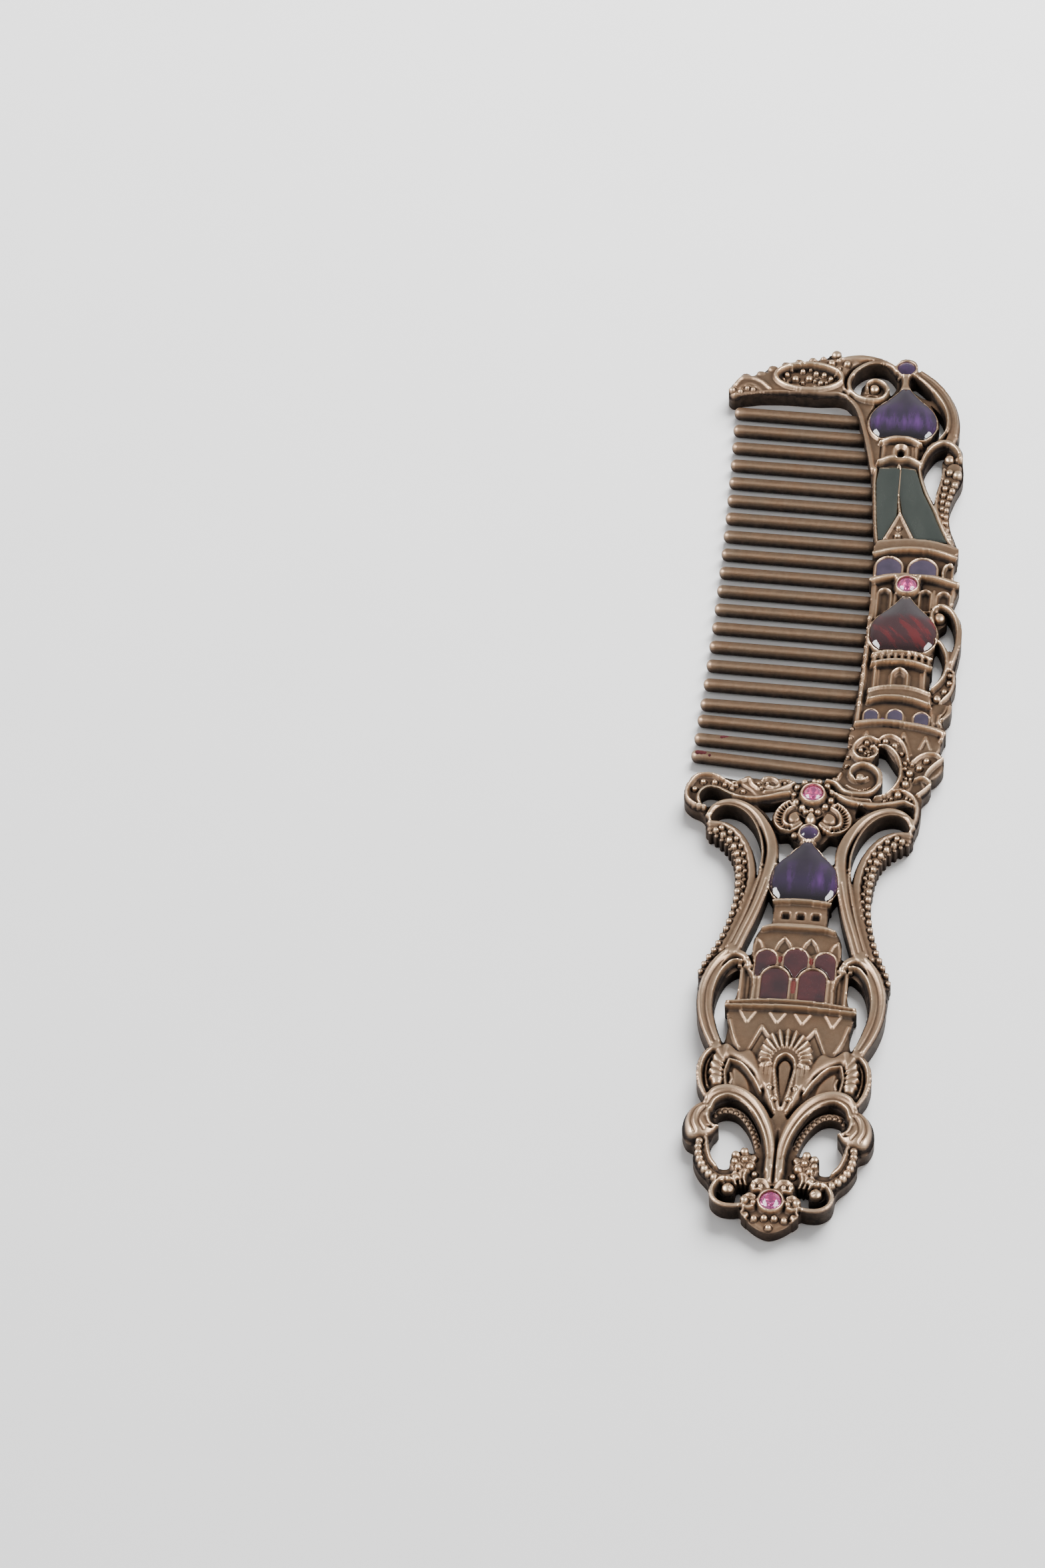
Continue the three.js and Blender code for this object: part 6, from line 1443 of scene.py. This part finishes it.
class Nodes:
    """A Principled material being built. place is the point on the object, and within the same point as a
    share of the object's box."""

    def __init__(self, name):
        self.material = bpy.data.materials.new(name)
        self.material.use_nodes = True
        self.tree = self.material.node_tree
        self.shader = self.tree.nodes["Principled BSDF"]
        places = self.add("ShaderNodeTexCoord").outputs
        self.place = places["Object"]
        self.within = places["Generated"]

    def add(self, kind, inputs=(), **settings):
        node = self.tree.nodes.new(kind)
        for key, value in settings.items():
            setattr(node, key, value)
        for key, value in dict(inputs).items():
            self.put(node.inputs[key], value)
        return node

    def put(self, socket, value):
        if isinstance(value, bpy.types.NodeSocket):
            self.tree.links.new(value, socket)
        else:
            socket.default_value = value

    def set(self, **values):
        for key, value in values.items():
            self.put(self.shader.inputs[key.replace("_", " ")], value)

    def noise(self, scale, detail=3.0, rough=0.55, stretch=None, twist=0.0):
        """Noise of about scale grains to the metre, stretch times as long on each axis."""
        vector = self.place
        if stretch:
            turned = {"Vector": vector, "Scale": stretch, "Rotation": (0, 0, twist)}
            vector = self.add("ShaderNodeMapping", turned, vector_type="TEXTURE").outputs[0]
        grain = {"Vector": vector, "Scale": scale, "Detail": detail, "Roughness": rough}
        return self.add("ShaderNodeTexNoise", grain).outputs["Fac"]

    def ramp(self, value, stops, ease=False):
        node = self.add("ShaderNodeValToRGB", {"Fac": value})
        if ease:
            node.color_ramp.interpolation = "EASE"
        while len(node.color_ramp.elements) < len(stops):
            node.color_ramp.elements.new(1.0)
        for element, (at, colour) in zip(node.color_ramp.elements, stops):
            element.position = at
            element.color = (*colour, 1) if len(colour) == 3 else colour
        return node.outputs["Color"]

    def math(self, operation, a, b=0.0, clamp=False):
        return self.add("ShaderNodeMath", {0: a, 1: b}, operation=operation, use_clamp=clamp).outputs[0]

    def vector(self, operation, a, b=(0, 0, 0)):
        return self.add("ShaderNodeVectorMath", {0: a, 1: b}, operation=operation)

    def mix(self, amount, a, b, blend="MIX"):
        node = self.add("ShaderNodeMix", {"Factor": amount}, data_type="RGBA", blend_type=blend)
        self.put(node.inputs[COLOUR_A], a)
        self.put(node.inputs[COLOUR_B], b)
        return node.outputs[COLOUR_OUT]

    def spots(self, places):
        """1 inside any of the round spots (x, y, radius), in mm, and 0 outside them."""
        total = 0.0
        flat = self.vector("MULTIPLY", self.place, (1, 1, 0)).outputs[0]
        for x, y, radius in places:
            offset = self.vector("SUBTRACT", flat, (x * MM, y * MM, 0)).outputs[0]
            far = self.vector("LENGTH", offset).outputs["Value"]
            fade = {"Value": far, "From Min": 0.75 * radius * MM, "From Max": radius * MM, "To Min": 1.0,
                    "To Max": 0.0}
            total = self.math("ADD", self.add("ShaderNodeMapRange", fade).outputs[0], total, clamp=True)
        return total

    def bump(self, height, strength, distance):
        node = self.add("ShaderNodeBump", {"Height": height, "Strength": strength, "Distance": distance})
        self.put(self.shader.inputs["Normal"], node.outputs[0])


def grey(value):
    return (value, value, value)


# Where a little enamel ran over the metal: colour, and spots (x, y, radius) in mm
SPILLS = [
    ((0.055, 0.006, 0.009), [(-18.9, 8.0, 0.5), (-18.3, 8.0, 0.5), (-17.8, 7.95, 0.36), (-17.0, 7.5, 0.26),
                             (-15.0, 11.5, 0.36), (-15.4, 11.35, 0.34), (-14.6, 11.6, 0.3)]),
    ((0.105, 0.022, 0.018), [(-2.35, -32.1, 0.42), (-2.35, -32.6, 0.4), (2.35, -32.1, 0.42),
                             (2.35, -32.7, 0.42), (0.0, -36.4, 0.42), (0.0, -36.9, 0.46),
                             (0.0, -37.4, 0.48), (0.0, -37.9, 0.46), (0.0, -38.4, 0.4)]),
    ((0.05, 0.016, 0.11), [(9.7, 17.0, 0.3)]),
]

# The copper's colour, from the deepest recess to the most rubbed edge. Through the wear attribute its dark
# end also paints shade on the walls and tooth sides, and its upper stops paint light along the tooth tops
COPPER = [
    (0.0, (0.012, 0.009, 0.008)), (0.22, (0.080, 0.054, 0.039)), (0.42, (0.155, 0.100, 0.065)),
    (0.6, (0.25, 0.165, 0.108)), (0.8, (0.38, 0.262, 0.175)), (1.0, (0.58, 0.42, 0.285)),
]


def antique_copper():
    """Rose-brown plating, rubbed bright on the high work and left nearly black in the recesses, with painted
    shade on the walls and painted light and shade on the teeth.
    """
    n = Nodes("antique_copper")
    wear_and_painted_light = n.add("ShaderNodeAttribute", attribute_name="wear_and_painted_light").outputs["Fac"]
    mottle = n.noise(900, 4, 0.6)
    fine = n.noise(5200, 3, 0.6)
    wear_and_painted_light_level = n.math("ADD", wear_and_painted_light, n.math("MULTIPLY", n.math("SUBTRACT", mottle, 0.5), 0.22), clamp=True)
    colour = n.ramp(wear_and_painted_light_level, COPPER)
    tint = n.ramp(n.noise(260, 2, 0.5), [(0.3, (0.93, 0.98, 1.0)), (0.7, (1.0, 0.96, 0.92))])
    colour = n.mix(1.0, colour, tint, "MULTIPLY")
    rough = n.ramp(wear_and_painted_light_level, [(0.0, grey(0.75)), (0.4, grey(0.52)), (0.75, grey(0.40)), (1.0, grey(0.32))])
    rough = n.mix(0.18, rough, fine)
    height = n.add("ShaderNodeSeparateXYZ", {"Vector": n.place}).outputs[2]
    face = n.math("GREATER_THAN", height, 1.2 * MM)
    metal = 0.94
    for enamel_colour, places in SPILLS:
        stain = n.math("MULTIPLY", n.spots(places), face)
        colour = n.mix(stain, colour, (*enamel_colour, 1))
        rough = n.mix(stain, rough, (0.12, 0.12, 0.12, 1))
        metal = n.math("SUBTRACT", metal, stain, clamp=True)
    n.set(Base_Color=colour, Roughness=rough, Metallic=metal)
    n.bump(n.math("ADD", fine, n.math("MULTIPLY", mottle, 0.7)), 0.6, 0.00006)
    return n.material


def enamel(name, build):
    n = Nodes(name)
    n.set(Base_Color=build(n), Roughness=0.06, IOR=1.54, Coat_Weight=0.3, Coat_Roughness=0.03)
    n.bump(n.noise(170, 2, 0.4), 0.12, 0.0006)
    return n.material


def violet_dome(n):
    within = n.add("ShaderNodeSeparateXYZ", {"Vector": n.within}).outputs[1]
    # Painted glow: lighter in a band across the dome's lower part, where the enamel's streaks show, fading
    # out above
    low = n.ramp(within, [(0.02, grey(0)), (0.28, grey(1)), (0.5, grey(0.3)), (0.72, grey(0))], ease=True)
    streaks = n.ramp(n.noise(560, 3, 0.6, (1, 4.5, 1)), [(0.45, grey(0)), (0.66, grey(1))])
    body = n.ramp(n.noise(240, 3, 0.5), [(0.3, (0.008, 0.006, 0.011)), (0.7, (0.018, 0.012, 0.022))])
    painted_glow = n.mix(n.math("MULTIPLY", low, 0.6), body, (0.017, 0.007, 0.033, 1))
    return n.mix(n.math("MULTIPLY", low, streaks), painted_glow, (0.058, 0.018, 0.097, 1))


def violet_pane(n):
    return n.ramp(n.noise(420, 3, 0.5), [(0.3, (0.026, 0.019, 0.036)), (0.7, (0.040, 0.029, 0.052))])


def violet_ball(n):
    return n.ramp(n.noise(420, 3, 0.5), [(0.3, (0.014, 0.008, 0.022)), (0.7, (0.040, 0.018, 0.060))])


def green_roof(n):
    grain = n.noise(300, 3, 0.5, (1, 2.5, 1))
    return n.ramp(grain, [(0.3, (0.016, 0.021, 0.018)), (0.7, (0.025, 0.031, 0.026))])


def red_dome(n):
    streak = n.ramp(n.noise(760, 3, 0.55, (5, 1, 1), math.radians(-50)), [(0.5, grey(0)), (0.64, grey(1))])
    within = n.add("ShaderNodeSeparateXYZ", {"Vector": n.within}).outputs[1]
    # Painted reflection: greyish towards the top, as of a pale sky, and red lower down, with the enamel's
    # streaks only in that lower part
    low = n.ramp(within, [(0.0, grey(1)), (0.5, grey(0.8)), (0.66, grey(0))], ease=True)
    body = n.mix(low, (0.030, 0.024, 0.026, 1), (0.028, 0.007, 0.009, 1))
    return n.mix(n.math("MULTIPLY", n.math("MULTIPLY", low, streak), 0.9), body, (0.088, 0.008, 0.010, 1))


def red_pane(n):
    return n.ramp(n.noise(300, 3, 0.55), [(0.3, (0.021, 0.009, 0.011)), (0.7, (0.056, 0.013, 0.015))])


def stone_glass():
    n = Nodes("pink_stone")
    n.set(Base_Color=n.ramp(n.noise(900, 2, 0.5), [(0.3, (0.60, 0.16, 0.44)), (0.7, (0.78, 0.29, 0.58))]),
          Roughness=0.02, IOR=1.62, Transmission_Weight=0.92)
    return n.material


def stone_foil():
    n = Nodes("pink_foil")
    n.set(Base_Color=n.ramp(n.noise(1500, 2, 0.5), [(0.3, (0.62, 0.26, 0.44)), (0.7, (0.88, 0.50, 0.68))]),
          Metallic=0.9, Roughness=0.16)
    return n.material


def floor_paper():
    n = Nodes("floor")
    n.set(Base_Color=n.ramp(n.noise(30, 3, 0.5), [(0.3, grey(0.87)), (0.7, grey(0.89))]), Roughness=0.75)
    return n.material


# ---------------------------------------------------------------------------------------------------------
# Assembly

copper = antique_copper()
finishes = {
    "violet_dome": (enamel("violet_dome", violet_dome), "violet_enamel"),
    "violet_pane": (enamel("violet_pane", violet_pane), "violet_enamel"),
    "violet_ball": (enamel("violet_ball", violet_ball), "violet_enamel"),
    "green": (enamel("green_roof", green_roof), "green_enamel"),
    "red_dome": (enamel("red_dome", red_dome), "red_enamel"),
    "red_pane": (enamel("red_pane", red_pane), "red_enamel"),
}
make_casting(copper)
for name, outline, finish, edge, crown, reach in CELLS:
    make_enamel(name, outline, edge, crown, reach, *finishes[finish])
glass, foil = stone_glass(), stone_foil()
for name, x, y, girdle in STONES:
    make_stone(name, x, y, girdle, glass, foil)
for index in range(TOOTH_COUNT):
    make_tooth(index, copper)

# ---------------------------------------------------------------------------------------------------------
# Floor, light and camera

bpy.ops.mesh.primitive_plane_add(size=6, location=(0, 0, -0.00005))
floor = bpy.context.object
floor.name = "floor"
floor.data.materials.append(floor_paper())

ROOM_LIGHT_FROM = (-0.12, 0.62, 0.77)
ROOM_DARK, ROOM_BRIGHT = 0.35, 0.66


def studio_room():
    """A pale room that is a little brighter towards the back and above."""
    world = bpy.data.worlds.new("studio")
    world.use_nodes = True
    nodes, link = world.node_tree.nodes, world.node_tree.links.new
    direction = nodes.new("ShaderNodeTexCoord")
    towards = nodes.new("ShaderNodeVectorMath")
    towards.operation = "DOT_PRODUCT"
    towards.inputs[1].default_value = ROOM_LIGHT_FROM
    level = nodes.new("ShaderNodeMapRange")
    for socket, value in (("From Min", -0.5), ("From Max", 1.0), ("To Min", ROOM_DARK),
                          ("To Max", ROOM_BRIGHT)):
        level.inputs[socket].default_value = value
    link(direction.outputs["Generated"], towards.inputs[0])
    link(towards.outputs["Value"], level.inputs["Value"])
    link(level.outputs[0], nodes["Background"].inputs["Strength"])
    nodes["Background"].inputs["Color"].default_value = (1.0, 0.99, 0.985, 1)
    bpy.context.scene.world = world


def softbox(name, location, width, height, power, matte, glossy):
    """A lamp aimed at the origin, which lights matte surfaces, shows in reflections, or both."""
    lamp = bpy.data.lights.new(name, "AREA")
    lamp.shape = "RECTANGLE"
    lamp.size = width
    lamp.size_y = height
    lamp.energy = power
    light = bpy.data.objects.new(name, lamp)
    light.location = location
    light.rotation_mode = "QUATERNION"
    light.rotation_quaternion = Vector(location).to_track_quat("Z", "Y")
    light.visible_diffuse = matte
    light.visible_glossy = glossy
    bpy.context.scene.collection.objects.link(light)


# The side lamps make the highlights on metal and domes. The key makes the floor's brightness and the shadows.
studio_room()
softbox("left_softbox", (-0.76, -0.18, 0.46), 0.80, 0.50, 29, matte=False, glossy=True)
softbox("right_softbox", (0.76, -0.18, 0.46), 0.80, 0.50, 25, matte=False, glossy=True)
softbox("key_softbox", (0.25, 0.72, 0.64), 0.75, 0.60, 33, matte=True, glossy=False)

CAMERA_DISTANCE = 0.7203
CAMERA_TILT = math.radians(39.6)      # from straight down
CAMERA_HEADING = math.radians(10.4)   # turned from +Y towards -X
CAMERA_ROLL = math.radians(4.5)
AIM = Vector((-0.04571, -0.00146, 0.0032))

lens = bpy.data.cameras.new("camera")
lens.lens = 105
lens.sensor_width = 36
lens.clip_start = 0.05
lens.clip_end = 20
camera = bpy.data.objects.new("camera", lens)
heading = Matrix.Rotation(CAMERA_HEADING, 4, "Z")
tilt = Matrix.Rotation(CAMERA_TILT, 4, "X")
roll = Matrix.Rotation(-CAMERA_ROLL, 4, "Z")
back_off = Matrix.Translation((0, 0, CAMERA_DISTANCE))
camera.matrix_world = Matrix.Translation(AIM) @ (heading @ tilt @ roll) @ back_off
bpy.context.scene.collection.objects.link(camera)
bpy.context.scene.camera = camera
